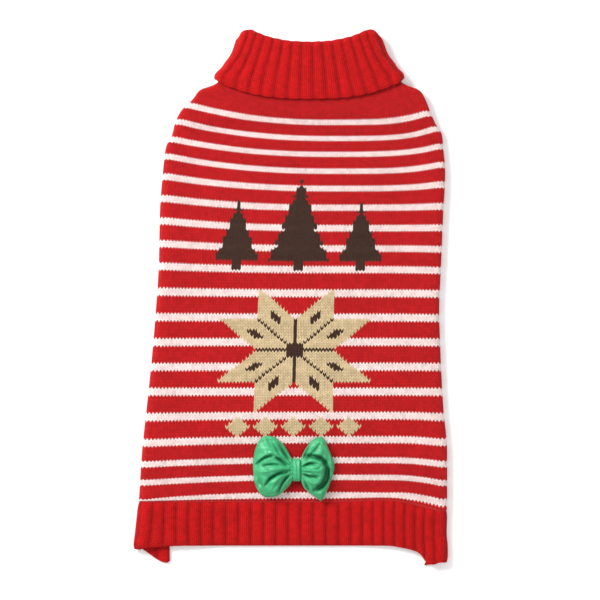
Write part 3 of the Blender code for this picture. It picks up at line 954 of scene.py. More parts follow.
@dataclass(frozen=True)
class HemBand:
    """Rib band across the back's lower edge, turned under at both corners."""

    form: BodyForm = BodyForm()
    gauge: StitchGauge = StitchGauge()
    ribs: int = 26
    points_per_rib: int = 14
    wall: float = 2.0
    raise_by: float = 1.05
    rows: int = 26
    under_steps: int = 26
    fold_steps: int = 12
    edge_rows: int = 4
    edge_relief: float = 0.5
    seam_pinch: float = 0.55
    seam_run: float = 0.12
    tab_left: Profile = Profile((0, 1), (26, 27))
    tab_right: Profile = Profile((0, 0.7, 0.88, 1), (26, 16.5, 15.4, 17.2))
    fold_reach: float = 0.1
    fanned: Point = (0.8, 0.2)
    sway: float = 0.04
    sway_length: float = 9.0
    sway_start: float = 0.7
    centre_phase: float = 0.27
    pitch: Profile = Profile((-117, 38, 58, 117), (9.3, 9.4, 8.1, 7.9))
    free_edge: Profile = Profile(
        (-2, -1.9, -1, -0.86, -0.7, 0.64, 0.75, 0.84, 0.87, 0.895, 0.92, 0.95, 1, 1.5, 2),
        (-197, -198.5, -187.5, -186.2, -185.6, -185.6, -187.3, -190, -192.4, -196.6, -199.2,
         -199.6, -198, -199.6, -200.4))

    def rib_phase(self, points: Grid, stations: Grid, down: Grid) -> Grid:
        """Place in ribs over the band.

        Ribs are counted along the middle row, by the length over their pitch there. On the back
        they stand upright and sway a little by a sine; towards the folds they follow the columns.

        Args:
            points: The middle of its cloth, (stations, rows, 3).
            stations: The band's stations.
            down: Share from the hem seam to the free edge, for each row.

        Returns:
            Phases, (stations, rows).
        """
        _, _, turn, place = stations.T
        line = points[:, self.rows // 2]
        steps = np.diff(run_length(line), prepend=0.0) / self.pitch.at(line[:, 0])
        phase = np.cumsum(steps)
        phase = phase - phase[len(phase) // 2] + self.centre_phase
        upright = (1 - step_over(np.abs(place), self.fanned)) * (turn == TOP_TURN)
        aside = (points[..., 0] - line[:, None, 0]) * upright[:, None]
        sway = np.sin(place * self.sway_length + self.sway_start)[:, None]
        sway = self.sway * sway * np.sin(np.pi * down) ** 2
        return phase[:, None] + aside / self.pitch.at(points[..., 0]) + sway

    def build(self, *materials: Material) -> Piece:
        """The band: ribs raised on its outer face, fading a little at its two edges.

        Args:
            materials: The rib.

        Returns:
            The piece.
        """
        form = self.form
        across = np.linspace(-1, 1, self.ribs * self.points_per_rib + 1)
        stations = form.stations(self.under_steps, self.fold_steps, across)
        side, share, turn, place = stations.T
        past_fold = self.fold_reach * (TOP_TURN - turn) / (2 * TOP_TURN)
        around = np.where(turn == TOP_TURN, place, side * (1 + past_fold))
        around = np.where(share < 1, side * (2 - share), around)
        down = np.linspace(1, 0, self.rows)[None, :]
        seam_y = form.hem_line.at(place)[:, None]
        y = seam_y + (self.free_edge.at(around)[:, None] - seam_y) * down
        width = np.where(side[:, None] < 0, self.tab_left.at(down), self.tab_right.at(down))
        points = form.section(stations, y, form.middle_and_half(y)[1] - width, self.wall)
        phase = self.rib_phase(points, stations, down)
        edge = rounded(self.rows, self.edge_rows, True, True)[None, :]
        fading = 1 - self.edge_relief * (1 - edge)
        pinch = 1 - self.seam_pinch * bell(down / self.seam_run)
        raised = self.raise_by * rib_shape(phase) * pinch
        outer, inner = walls(points, (self.wall / 2 + raised * fading) * edge,
                             self.wall / 2 * edge)
        uv = joined(self.gauge.rib_wale(phase), (y - seam_y) / self.gauge.course)
        return Shell("hem_rib_band", outer, inner, uv).build(*materials)


@dataclass(frozen=True)
class Collar:
    """The turtleneck: one rib tube from the neck seam up to its roll, turned down over itself."""

    form: BodyForm = BodyForm()
    gauge: StitchGauge = StitchGauge()
    centre_x: float = 14.1
    centre_z: float = 5.5
    wall: float = 2.0
    raise_by: float = 0.9
    inner_half: float = 1.6
    outer_half: float = 4.5
    inner_end: float = 3.0
    outer_end: float = 5.5
    layer_step: float = 2.6
    turn_depth: float = 2.2
    ribs: int = 32
    points_per_rib: int = 13
    flat_share: float = 0.42
    first_rib: float = 0.54
    rib_stand: float = 1.0
    roll_rise: float = 1.6
    under_relief: float = 0.35
    inner_rows: int = 9
    roll_rows: int = 13
    outer_rows: int = 34
    edge_rows: int = 4
    free_middle: float = 148.9
    free_rise: float = 15.0
    free_power: float = 2.6
    scallop: float = 0.45
    scallop_groove: float = 0.2
    side_power: float = 5.0
    sway: float = 0.05
    sway_turns: float = 1.1
    sway_slant: float = 1.7
    bound_height: float = 0.75
    edge_bound: float = 3.2
    roll_bound: float = 4.0
    roll_binding: float = 0.55
    half_width: Profile = Profile(
        (147, 162, 166.5, 171, 175.5, 180, 184.5, 189, 193.5, 200.5),
        (76, 72.8, 71.2, 66.8, 63.8, 60.4, 58.1, 56.6, 54.8, 52.6))
    fan_width: Profile = Profile((147, 160, 175, 190, 200.5),
                                 (75.5, 70.8, 64.4, 57.6, 52.6))
    top_line: Profile = Profile((0, 0.25, 0.42, 0.57, 0.72, 0.88, 0.95, 1),
                                (191.2, 191.9, 193.4, 195.2, 197.8, 200.4, 199.4, 194))

    def ring(self, across: Grid, turn: Grid, y: Grid, layer: Grid) -> Grid:
        """Rings of points, each a flattened loop: straight above and below, round at its sides.

        Its width follows the outline at its sides, and a straighter fan of ribs away from them.

        Args:
            across: Place of each column over the flat parts, from -1 to 1.
            turn: Angle of each column round the sides.
            y: Y of each point.
            layer: From -1, on the inner tube, to 1, on the part that is turned down.

        Returns:
            Points, (columns, rows, 3).
        """
        mix = (1 + layer) / 2
        reach = self.inner_end + mix * (self.outer_end - self.inner_end)
        rise = self.inner_half + mix * (self.outer_half - self.inner_half)
        fan = self.fan_width.at(y)
        half = fan + (self.half_width.at(y) - fan) * np.abs(across) ** self.side_power
        half = half - self.rib_stand - self.wall / 2 - (1 - mix) * self.layer_step
        x = self.centre_x + across * (half - reach) + reach * np.cos(turn)
        return joined(x, y, self.centre_z + rise * np.sin(turn))

    def heights(self, across: Grid, turn: Grid, rib: Grid) -> tuple[Grid, Grid]:
        """Y and layer of every column and row: up the inner tube, over the roll and down.

        Y stays at the top throughout the roll, whose bulge is added later. The tube starts at
        the neck seam. Its top follows the outline, and its free edge rises by a power towards
        the sides, with a small scallop at each rib.

        Args:
            across: Place of each column over the flat parts.
            turn: Angle of each column round the sides.
            rib: Place of each column in ribs.

        Returns:
            Heights and layers, both (columns, rows).
        """
        loop = self.outer_end / self.half_width.values[-2]
        aside = np.abs(across) * (1 - loop) + np.abs(np.cos(turn)) * loop
        top_y = self.top_line.at(aside) - self.wall / 2 - self.turn_depth
        free_y = self.free_middle + self.free_rise * aside ** self.free_power
        free_y = free_y + self.scallop * (0.5 - rib_shape(rib, self.scallop_groove, 0.0))
        neck_half = (self.half_width.at(self.form.neck_side) - self.layer_step - self.rib_stand
                     - self.wall / 2)
        neck_y = self.form.neck_seam(np.abs(across) * (neck_half - self.inner_end)
                                     + self.inner_end * np.abs(np.cos(turn)))
        up = np.linspace(0, 1, self.inner_rows + 1)[None, :-1]
        roll = np.radians(np.linspace(-90, 90, self.roll_rows))[None, :]
        down = np.linspace(0, 1, self.outer_rows + 1)[None, 1:]
        y = np.concatenate((neck_y + (top_y - neck_y) * up, top_y + 0 * roll,
                            top_y + (free_y - top_y) * down), axis=1)
        layer = np.concatenate((0 * up - 1, np.sin(roll), 0 * down + 1), axis=1)
        return y, layer

    def relief(self, turn: Grid, rib: Grid, layer: Grid) -> Grid:
        """Height of the ribs over the tube.

        They sway a little by a sine, rise as the cloth turns over, are low on the side that lies
        below, and merge along the roll and the free edge, where bells of the rows bind them.

        Args:
            turn: Angle of each column round the sides.
            rib: Place of each column in ribs.
            layer: Layer of each row.

        Returns:
            Heights, (columns, rows).
        """
        row = np.arange(layer.shape[1])[None, :]
        up = row / row.max()
        wave = self.sway * np.sin(up * self.sway_turns * 2 * np.pi + rib * self.sway_slant)
        ribs = rib_shape(rib + wave)
        roll_row = self.inner_rows + self.roll_rows / 2
        bound = (bell((row - row.max()) / self.edge_bound)
                 + self.roll_binding * bell((row - roll_row) / self.roll_bound))
        ribs = ribs + (self.bound_height - ribs) * bound
        above = self.under_relief + (1 - self.under_relief) * ease(2 * np.sin(turn) + 1)
        return self.raise_by * ease((layer + 1) / self.roll_rise) * ribs * above

    def build(self, *materials: Material) -> Piece:
        """The collar: rings up the inner tube, round the roll and down the turned part.

        Args:
            materials: The rib.

        Returns:
            The piece.
        """
        count = self.ribs * self.points_per_rib
        place = (np.arange(count) + 0.5) / count
        knots = (0.0, self.flat_share, 0.5, 0.5 + self.flat_share, 1.0)
        across = np.interp(place, knots, (1.0, -1.0, -1.0, 1.0, 1.0))[:, None]
        turn = np.radians(np.interp(place, knots, (90.0, 90.0, 270.0, 270.0, 450.0)))[:, None]
        rib = np.arange(1, count + 2)[:, None] / self.points_per_rib + self.first_rib
        y, layer = self.heights(across, turn, rib[:-1])
        points = self.ring(across, turn, y, layer)
        points[..., 1] += self.turn_depth * np.sqrt(1 - layer ** 2)
        raised = self.relief(turn, rib[:-1], layer)
        edge = rounded(points.shape[1], self.edge_rows, False, True)[None, :]
        outer, inner = walls(points, (self.wall / 2 + raised) * edge, self.wall / 2 * edge,
                             closed=True)
        course = run_length(points.swapaxes(0, 1)).mean(axis=1) / self.gauge.course
        uv = joined(self.gauge.rib_wale(rib), course[None, :])
        return Shell("collar_rib", outer, inner, uv, closed=True).build(*materials)


@dataclass(frozen=True)
class Bow:
    """Satin bow: a strip gathered in its middle by a knot, full in its two lobes."""

    form: BodyForm = BodyForm()
    knot_x: float = 4.5
    knot_y: float = -128.6
    knot_width: float = 6.0
    knot_wall: float = 1.2
    knot_play: float = 0.55
    knot_columns: int = 120
    knot_rows: int = 29
    knot_edge: float = 0.97
    knot_stand: float = 0.15
    knot_pinch: float = 0.10
    knot_pleat: float = 0.22
    knot_pleats: float = 7.0
    knot_wander: float = 0.9
    knot_start: float = 0.4
    dent: float = 0.55
    dent_across: Point = (-0.05, 0.22)
    dent_along: Point = (0.62, 0.22)
    waist_half: float = 6.6
    waist_thick: float = 4.5
    seam_gap: float = 0.3
    rows: int = 140
    columns: int = 200
    even_rows: float = 0.5
    even_columns: float = 0.72
    thread_pitch: float = 0.35
    outline_x: Row = (
        -28.1, -27.2, -24.5, -21.7, -17.5, -12, -8, -4.5, -1.2, 0.6, 1.6, 4.5, 7.4, 8.4,
        9.6, 11.8, 15.6, 19.5, 22.8, 25.2, 28.3, 31.4, 32.8)
    low: Profile = Profile(
        outline_x,
        (-128.5, -137.5, -144, -147.4, -149, -148.8, -147, -144.2, -140.9, -138, -135.2,
         -135.2, -135.2, -138.6, -141.3, -144, -146.9, -149.6, -151.9, -148.8, -142.3, -133.5,
         -128.5))
    high: Profile = Profile(
        outline_x,
        (-123, -116, -108.5, -104.8, -103, -104, -107, -110.5, -116.2, -119.6, -122,
         -122, -122, -118.6, -115.8, -112, -107, -104.6, -103.8, -105.3, -112.3, -120,
         -123.5))
    thick: Profile = Profile(
        (-28.1, -27.2, -24.5, -21.7, -17.5, -12, -8, -4.5, -1.2, 0.2, 4, 7.8, 9.2, 11.8,
         15.6, 19.5, 22.8, 25.2, 28.3, 31.4, 32.8),
        (1.6, 3.6, 6.4, 8.2, 9.8, 10, 9, 7.4, 5.4, 4.5, 4.5, 4.5, 5.6, 7.4, 9.4, 10.2, 10,
         8.6, 6.2, 3.4, 1.6))
    folds: tuple[Crease, ...] = Crease.table(
        (-26, -125.5, -20.5, -117.6, -12, -117.8, 1, -3.2),
        (-24.5, -121.5, -19.5, -115.6, -13, -115.4, 1, 0.9),
        (-11.5, -118.6, -7.5, -121, -2, -125.8, 1, -3.2),
        (-21, -125.6, -15, -123.2, -8.5, -124.8, 0.8, -2.2),
        (-1, -130, -14.5, -129.8, -19.4, -141.5, 1.1, -3.8),
        (-1, -133, -6, -136, -9.5, -145, 1, -2.8),
        (-3, -131.6, -11, -134, -14.5, -143.5, 1.2, 1.3),
        (-1, -121.5, -5, -116.5, -8.5, -109, 1, -2.4),
        (-2, -123.4, -9, -118, -14, -106, 0.8, -1.5),
        (-2, -127.6, -12, -127.2, -24.5, -131, 1.5, 1.8),
        (-24.5, -130, -24.5, -138, -18, -145, 1.6, -1.6),
        (9.4, -118.4, 28.5, -116.2, 27.3, -131, 1.5, -5.2),
        (27.3, -128, 28.6, -138.5, 17, -144.4, 2.1, -6.4),
        (8.6, -131.2, 14, -133.8, 21, -133.6, 1, -3.6),
        (8.6, -126.5, 13, -122.4, 20.5, -124.2, 1, -3),
        (13, -127, 19, -129, 22.5, -126.5, 0.8, -1.8),
        (9, -121, 12.5, -114, 15, -107, 1, -2.4),
        (11, -121.5, 19, -113.5, 23, -107.5, 0.9, -1.4),
        (9, -134.6, 12, -139.5, 15.5, -147.5, 1, -2.6),
        (9.5, -128.8, 16, -127, 24, -130, 1.5, 2.2),
        (11, -136, 17, -139.5, 22, -138, 1.5, 1.6),
        (19, -106, 31.8, -111.5, 31, -128, 1.3, 1.8),
    )
    gather_half: float = 4.6
    lift_half: float = 7.0
    rim_share: float = 0.15
    gathered_rim: float = 0.35
    fullness: float = 0.8
    fold_rim: float = 0.6
    thinnest: float = 0.35
    least_wall: float = 0.05
    # Fold depth at which the satin's painted shade is full
    deep_fold: float = 3.2
    pleat: float = 0.6
    pleats: float = 13.0
    pleat_start: float = 0.8
    pleat_span: Point = (5.0, 6.0)
    crumple: float = 0.5
    crumples: float = 21.0
    crumple_wander: float = 1.6
    crumple_waves: tuple[float, float, float] = (0.37, 0.21, 0.13)
    crumple_span: Point = (4.0, 6.0)
    hem_depth: float = 0.5
    hem_place: Point = (0.885, 0.016)
    hem_span: Point = (3.0, 5.0)

    def bed(self, x: Grid, y: Grid) -> Grid:
        """Height of what the bow lies on: the creased knit and the seam's space."""
        top = self.form.top_layer(x, y, self.form.knit) + self.form.relief(x, y)
        return top + self.form.knit / 2 + self.seam_gap

    def folds_over(self, x: Grid, y: Grid, place: Grid) -> Grid:
        """What folds, pleats, crumples and the hems' grooves add to the top of the lobes.

        Pleats and crumples are sines of the angle at which they fan out from the knot. The
        hem's groove is a bell of the place across the strip.

        Args:
            x: Places along the strip.
            y: Places across it.
            place: The latter from -1 to 1.

        Returns:
            Heights, less than 0 where the satin sinks.
        """
        from_knot = np.abs(x - self.knot_x)
        fan = np.arctan2(y - self.knot_y, from_knot + 1.0)
        pleats = self.pleat * np.sin(self.pleats * fan + self.pleat_start * np.sign(x))
        pleats = pleats * bell_at(from_knot, self.pleat_span)
        bend, along, across = self.crumple_waves
        small = np.sin(self.crumples * fan + self.crumple_wander * np.sin(x * bend))
        small = small * np.sin(x * along + y * across) * step_over(from_knot, self.crumple_span)
        hem = bell_at(np.abs(place), self.hem_place) * step_over(from_knot, self.hem_span)
        lift = total_lift(self.folds, x, y) + pleats
        return lift + self.crumple * small - self.hem_depth * hem

    def strip(self, *materials: Material) -> Piece:
        """The two lobes: ellipses across the strip, creased where the knot gathers it.

        An ellipse spans the outline's lower and upper edge. Its underside is shallow, its top as
        full as the lobe is thick, less the folds. The depth of the folds is kept as an attribute,
        the mask of the satin's painted fold shade.

        Args:
            materials: The satin.

        Returns:
            The piece.
        """
        ends = self.low.places[0], self.low.places[-1]
        x = (ends[0] + ends[1]) / 2 + (ends[1] - ends[0]) / 2 * crowded(self.columns,
                                                                        self.even_columns)
        x, place = x[:, None], crowded(self.rows, self.even_rows)[None, :]
        swell = np.sqrt(np.clip(1 - place ** 2, 0, 1))
        from_knot = np.abs(x - self.knot_x)
        gather = np.exp(-(from_knot / self.gather_half) ** 4)
        lift = (self.knot_wall + self.seam_gap) * np.exp(-(from_knot / self.lift_half) ** 6)
        low, high, thick = (line.at(x) for line in (self.low, self.high, self.thick))
        y = (low + high) / 2 + (high - low) / 2 * place
        rim = thick * (self.rim_share + self.gathered_rim * gather)
        ground = self.bed(x, y) + lift + rim
        folded = self.folds_over(x, y, place) * (1 - gather)
        above = swell ** self.fullness * (thick - rim) + ease(swell / self.fold_rim) * folded
        top = ground + np.maximum(above, self.thinnest * swell)
        bottom = ground - rim * swell
        bottom[:, 1:-1] = np.minimum(bottom, top - self.least_wall)[:, 1:-1]
        obj = Shell("bow_satin", joined(x, y, top), joined(x, y, bottom),
                    joined(x, y) / self.thread_pitch).build(*materials)
        # fold_depth: how deep each point lies in a fold, the mask of the satin's painted shade
        depth = np.clip(-folded / self.deep_fold, 0, 1).ravel()
        layer = obj.data.attributes.new("fold_depth", "FLOAT", "POINT")
        depth = np.concatenate((depth, np.zeros(folded.size)))
        layer.data.foreach_set("value", depth.astype(np.float32))
        return obj

    def knot(self, *materials: Material) -> Piece:
        """The band round the gathered middle: a flattened ring with lengthwise pleats.

        Its outer side stands off the waist by the wall, rounded to its two edges by the fourth
        root of a power. Its pleats are a cosine across its width that wanders round it, and it
        has one small dent.

        Args:
            materials: The satin.

        Returns:
            The piece.
        """
        turn = np.linspace(0, 2 * np.pi, self.knot_columns + 1)[:, None]
        around = turn * self.waist_half
        turn = turn[:-1]
        across = np.linspace(-1, 1, self.knot_rows)[None, :]
        edge = (1 - np.abs(across * self.knot_edge) ** 4) ** 0.25
        wander = self.knot_wander * np.sin(turn) + self.knot_start
        pleat = self.knot_pleat * np.cos(across * self.knot_pleats + wander)
        pleat = pleat * np.abs(np.sin(turn))
        dent = bell_at(across, self.dent_across) * bell_at(np.cos(turn), self.dent_along)
        stand = (self.knot_wall + self.knot_stand + pleat - self.dent * dent) * edge
        hole_half = self.waist_half + self.knot_play
        hole_tall = self.waist_thick / 2 + self.knot_play
        bed = self.bed(np.array(self.knot_x), np.array(self.knot_y))
        centre_z = bed + self.knot_wall + self.seam_gap + self.waist_thick / 2
        pinch = 1 - self.knot_pinch * np.sin(turn) ** 2
        x = self.knot_x + self.knot_width / 2 * across * pinch

        def ring(off: Grid) -> Grid:
            """Flattened ring at a distance from the waist."""
            return joined(x, self.knot_y + (hole_half + off) * np.cos(turn),
                          centre_z + (hole_tall + off) * np.sin(turn))

        uv = joined(across * self.knot_width / 2, around) / self.thread_pitch
        return Shell("bow_knot_satin", ring(stand), ring(0 * stand), uv,
                     closed=True).build(*materials)


@dataclass(frozen=True)
class Sewing:
    """Linked seams: a low rounded ridge of yarn along each one."""

    form: BodyForm = BodyForm()
    width: float = 0.9
    height: float = 0.5
    stitch: float = 2.2
    step: float = 1.0
    least_steps: int = 8
    points_across: int = 7
    rim: float = 0.96
    bead: float = 0.18
    flank_start: float = 0.961
    side_points: int = 60
    leg_points: int = 140
    arch_points: int = 500
    hem_points: int = 240
    hem_fold_points: int = 24
    hem_past_seam: float = 0.15
    hem_past_fold: float = 0.45
    hem_stand: float = 0.35

    def ridge(self, name: str, path: Grid, *materials: Material,
              lengthwise: bool = False) -> Piece:
        """A ridge along a path of points, half an ellipse above it and half below.

        Args:
            name: The piece's name.
            path: The seam's line, (points, 3).
            materials: The yarn.
            lengthwise: Whether it is wide along +Y and stands square to that, so that it may
                wrap round a fold; otherwise it lies flat.

        Returns:
            The piece.
        """
        length = run_length(path)
        count = max(int(length[-1] / self.step), self.least_steps)
        even = np.linspace(0, length[-1], count)
        line = np.stack([np.interp(even, length, path[:, k]) for k in range(3)], axis=-1)
        along = np.gradient(line, axis=0)
        aside = np.cross((0.0, 0.0, 1.0), along)
        if lengthwise:
            aside = np.zeros_like(along) + (0.0, 1.0, 0.0)
        out = np.cross(along, aside)
        aside, out = (v / np.linalg.norm(v, axis=-1, keepdims=True) for v in (aside, out))
        across = np.linspace(-1, 1, self.points_across)[None, :, None]
        bead = 1 + self.bead * np.cos(2 * np.pi * even / self.stitch)[:, None, None]
        flat = line[:, None, :] + aside[:, None, :] * across * self.width * bead
        stand = self.height * bead * np.sqrt(1 - (self.rim * across) ** 2)
        up = out[:, None, :] * stand
        uv = joined(even[:, None] / self.stitch, across[..., 0])
        upper, lower = flat + up, flat - up
        for side in (upper, lower):
            side[..., 2] = np.maximum(side[..., 2], 0.0)
        return Shell(name, upper, lower, uv).build(*materials)

    def side_path(self, side: int, start: float, end: float) -> Grid:
        """Underside seam of one side between two heights.

        Args:
            side: -1 for the left side, 1 for the right one.
            start: Y of its lower end.
            end: Y of its upper end.

        Returns:
            Points, (points, 3).
        """
        y = np.linspace(start, end, self.side_points)
        middle, half = self.form.middle_and_half(y)
        z = self.form.neck_lift * self.form.climb(y) + self.height
        return joined(middle + side * self.form.seam_share * half, y, z)

    def leg_path(self, side: int) -> Grid:
        """Seam round one leg hole, an ellipse.

        Args:
            side: -1 for the left hole, 1 for the right one.

        Returns:
            Points, (points, 3).
        """
        form = self.form
        angle = np.linspace(0, 2 * np.pi, self.leg_points)
        y = form.leg_y - form.leg_length * np.cos(angle)
        middle, half = form.middle_and_half(y)
        x = middle + side * form.seam_share * half + form.leg_width * np.sin(angle)
        return joined(x, y, self.height)

    def arch_path(self) -> Grid:
        """Seam round the rear opening.

        Returns:
            Points, (points, 3).
        """
        out, up = self.form.arch_path(self.arch_points)
        y = self.form.hem_seam + self.form.arch_height * up
        middle, half = self.form.middle_and_half(y)
        x = middle + out * (half - self.form.arch_margin)
        return joined(x, y, self.height)

    def hem_path(self) -> Grid:
        """Seam between the back panel and the hem band, round both folds and over the top.

        It stands a little off the cloth, outwards round the folds and upwards on top.

        Returns:
            Points, (points, 3).
        """
        across = np.linspace(-1, 1, self.hem_points)
        stations = self.form.stations(1, self.hem_fold_points, across)[1:-1]
        side, _, turn, place = stations.T
        y = self.form.hem_line.at(place[:, None]) + self.hem_past_seam
        half = self.form.middle_and_half(y)[1]
        points = self.form.section(stations, y, half / 2, self.form.knit)[:, 0]
        on_top = turn == TOP_TURN
        points[:, 0] += np.where(on_top, 0.0, side * np.cos(np.radians(turn)) * self.hem_past_fold)
        points[:, 2] += np.where(on_top, self.hem_stand, 0.0)
        return points


# ---------------- shader arithmetic


class Signal:
    """A value that changes over a surface; arithmetic on it adds Math nodes to its tree."""

    def __init__(self, tree: Tree, socket: bpy.types.NodeSocket) -> None:
        """Keeps the tree and the socket that gives the value."""
        self.tree = tree
        self.socket = socket

    def math(self, operation: str, *others: "Signal | float") -> "Signal":
        """Result of a Math node on this value and others."""
        return wired(self.tree, "Math", dict(enumerate((self, *others))), operation=operation)

    def __add__(self, other: "Signal | float") -> "Signal":
        """Sum."""
        return self.math("ADD", other)

    def __sub__(self, other: "Signal | float") -> "Signal":
        """Difference."""
        return self.math("SUBTRACT", other)

    def __mul__(self, other: "Signal | float") -> "Signal":
        """Product."""
        return self.math("MULTIPLY", other)

    def __pow__(self, other: float) -> "Signal":
        """Power."""
        return self.math("POWER", other)

    def __abs__(self) -> "Signal":
        """Size without its sign."""
        return self.math("ABSOLUTE")

    def __invert__(self) -> "Signal":
        """One minus the value; the other side of a mask."""
        return (self * -1.0) + 1.0

    def __and__(self, other: "Signal") -> "Signal":
        """Where both masks are set, or the smaller value."""
        return self.math("MINIMUM", other)

    def __or__(self, other: "Signal") -> "Signal":
        """Where either mask is set, or the larger value."""
        return self.math("MAXIMUM", other)

    def below(self, limit: "Signal | float") -> "Signal":
        """Mask of where it is less than a limit."""
        return self.math("LESS_THAN", limit)

    def above(self, limit: "Signal | float") -> "Signal":
        """Mask of where it is more than a limit."""
        return self.math("GREATER_THAN", limit)

    def floor(self) -> "Signal":
        """Whole part."""
        return self.math("FLOOR")

    def fraction(self) -> "Signal":
        """Part after the point."""
        return self.math("FRACT")

    def wrap(self, period: float) -> "Signal":
        """Remainder, from 0 up to the period."""
        return self.math("FLOORED_MODULO", period)

    def wave(self) -> "Signal":
        """Sine of the value in turns."""
        return (self * (2 * np.pi)).math("SINE")

    def off_middle(self) -> "Signal":
        """Distance from a half: 0 in the middle of the range from 0 to 1, and 1 at its ends."""
        return abs(self * 2.0 - 1.0)


Signals = dict[str, Signal]
Value = Signal | float | tuple


def feed(tree: Tree, value: Value, slot: bpy.types.NodeSocket) -> None:
    """Links a signal to a socket, or sets the socket to a plain value."""
    if isinstance(value, Signal):
        tree.links.new(value.socket, slot)
    else:
        slot.default_value = value


def wired(tree: Tree, kind: str, given: dict[str | int, Value], output: str | int = 0,
          **settings: str) -> Signal:
    """Adds a node and feeds its inputs.

    Args:
        tree: The tree that it goes into.
        kind: Its type, the part after ShaderNode.
        given: Values or signals for inputs, by name or number.
        output: The output to read.
        settings: The node's own settings, such as its operation.

    Returns:
        The output.
    """
    node = tree.nodes.new(f"ShaderNode{kind}")
    for name, setting in settings.items():
        setattr(node, name, setting)
    for slot, value in given.items():
        feed(tree, value, node.inputs[slot])
    return Signal(tree, node.outputs[output])


def split(vector: Signal) -> list[Signal]:
    """X, Y and Z of a vector."""
    node = wired(vector.tree, "SeparateXYZ", {0: vector}).socket.node
    return [Signal(vector.tree, socket) for socket in node.outputs]


def join(x: Signal, y: Signal) -> Signal:
    """Flat vector of two values."""
    return wired(x.tree, "CombineXYZ", {0: x, 1: y})


def noise(vector: Signal, scale: float, detail: float = 2.0) -> Signal:
    """Cloudy value about a half."""
    given = {"Vector": vector, "Scale": scale, "Detail": detail}
    return wired(vector.tree, "TexNoise", given)


def speckle(place: Signal) -> Signal:
    """Random value, the same all over each whole-numbered place."""
    return wired(place.tree, "TexWhiteNoise", {"Vector": place}, "Value", noise_dimensions="2D")


def mixed(tree: Tree, factor: Value, a: Value, b: Value) -> Signal:
    """Colour a where the factor is 0, and b where it is 1."""
    return wired(tree, "Mix", {0: factor, 6: a, 7: b}, 2, data_type="RGBA")


def scaled(colour: Signal | Colour, factor: Signal) -> Signal:
    """Colour made darker or lighter by a factor."""
    return wired(factor.tree, "VectorMath", {0: colour, "Scale": factor}, operation="SCALE")


def stitch_place(tree: Tree) -> Signal:
    """The piece's stitch coordinates."""
    return wired(tree, "UVMap", {}, uv_map="stitches")


def object_place(tree: Tree) -> Signal:
    """Place on the object, in metres."""
    return wired(tree, "TexCoord", {}, "Object")


def bump(height: Signal) -> Signal:
    """Normal of the surface raised by a height in millimetres."""
    return wired(height.tree, "Bump", {"Distance": MM, "Height": height}, "Normal")


# ---------------- shared effects


class Effect:
    """A shader node group that is built once and placed in each material that uses it."""

    name: str = ""
    inputs: dict[str, str] = {}
    outputs: dict[str, str] = {}

    def make(self, given: Signals) -> Signals:
        """The group's own nodes.

        Args:
            given: The group's inputs by name.

        Returns:
            Its outputs by name.
        """
        raise NotImplementedError

    def group(self) -> Tree:
        """The group, made the first time that it is asked for.

        Returns:
            The group's tree, with its named sockets.
        """
        found = bpy.data.node_groups.get(self.name)
        if found:
            return found
        tree = bpy.data.node_groups.new(self.name, "ShaderNodeTree")
        for way, sockets in (("INPUT", self.inputs), ("OUTPUT", self.outputs)):
            for name, kind in sockets.items():
                tree.interface.new_socket(name, in_out=way, socket_type=f"NodeSocket{kind}")
        entry = tree.nodes.new("NodeGroupInput")
        exit_node = tree.nodes.new("NodeGroupOutput")
        given = {name: Signal(tree, entry.outputs[name]) for name in self.inputs}
        for name, value in self.make(given).items():
            feed(tree, value, exit_node.inputs[name])
        return tree

    def place(self, tree: Tree, **given: Signal | float) -> Signals:
        """Adds the group to a material.

        Args:
            tree: The material's tree.
            given: Values or signals for the group's inputs.

        Returns:
            The group's outputs by name.
        """
        node = tree.nodes.new("ShaderNodeGroup")
        node.node_tree = self.group()
        for name, value in given.items():
            feed(tree, value, node.inputs[name])
        return {name: Signal(tree, node.outputs[name]) for name in self.outputs}


class StitchFace(Effect):
    """Right side of stocking stitch: each stitch is a V of two leaning, rounded legs.

    Within a wale, the distance from its middle line leans the courses upwards, which makes the
    V. A leg is round across its own length, thins where it dives under the next stitch, and its
    plies cross it as fine ridges. Yarn and stitches wander a little.
    """

    name = "stitch face"
    inputs = {"Place": "Vector", "Lean": "Float", "Wander": "Float"}
    outputs = {"Height": "Float", "Wale": "Float", "Course": "Float", "Tone": "Float"}
    wander_scale = 0.45
    leg_power = 2.4
    dive_power = 3.0
    dive = 0.8
    ply = 0.07
    ply_turns = (2.2, 1.4)
    stitch_tone = 0.24
    cloud_tone = 0.18
    cloud_scale = 0.06

    def make(self, given: Signals) -> Signals:
        """Height of the legs, and the wale, course and tone of each stitch.

        Args:
            given: The group's inputs by name.

        Returns:
            Its outputs by name.
        """
        u, v, _ = split(given["Place"])
        loose = noise(given["Place"], self.wander_scale, 1.0) - 0.5
        other = noise(join(v * 0.8 + 7.3, u * 0.9), self.wander_scale, 1.0) - 0.5
        u = u + loose * given["Wander"]
        v = v + other * given["Wander"]
        aside = u.fraction().off_middle()
        leaning = v - aside * given["Lean"]
        across = leaning.fraction()
        leg = ~(across.off_middle() ** self.leg_power)
        body = ~((aside.off_middle() ** self.dive_power) * self.dive)
        ply = (aside * self.ply_turns[0] + across * self.ply_turns[1]).wave() * self.ply
        wale, course = u.floor(), leaning.floor()
        cloud = noise(given["Place"], self.cloud_scale) * self.cloud_tone
        tone = speckle(join(wale, course)) * self.stitch_tone + cloud
        return {"Height": leg * body * (ply + (1 - self.ply)), "Wale": wale, "Course": course,
                "Tone": tone + (1 - (self.stitch_tone + self.cloud_tone) / 2)}


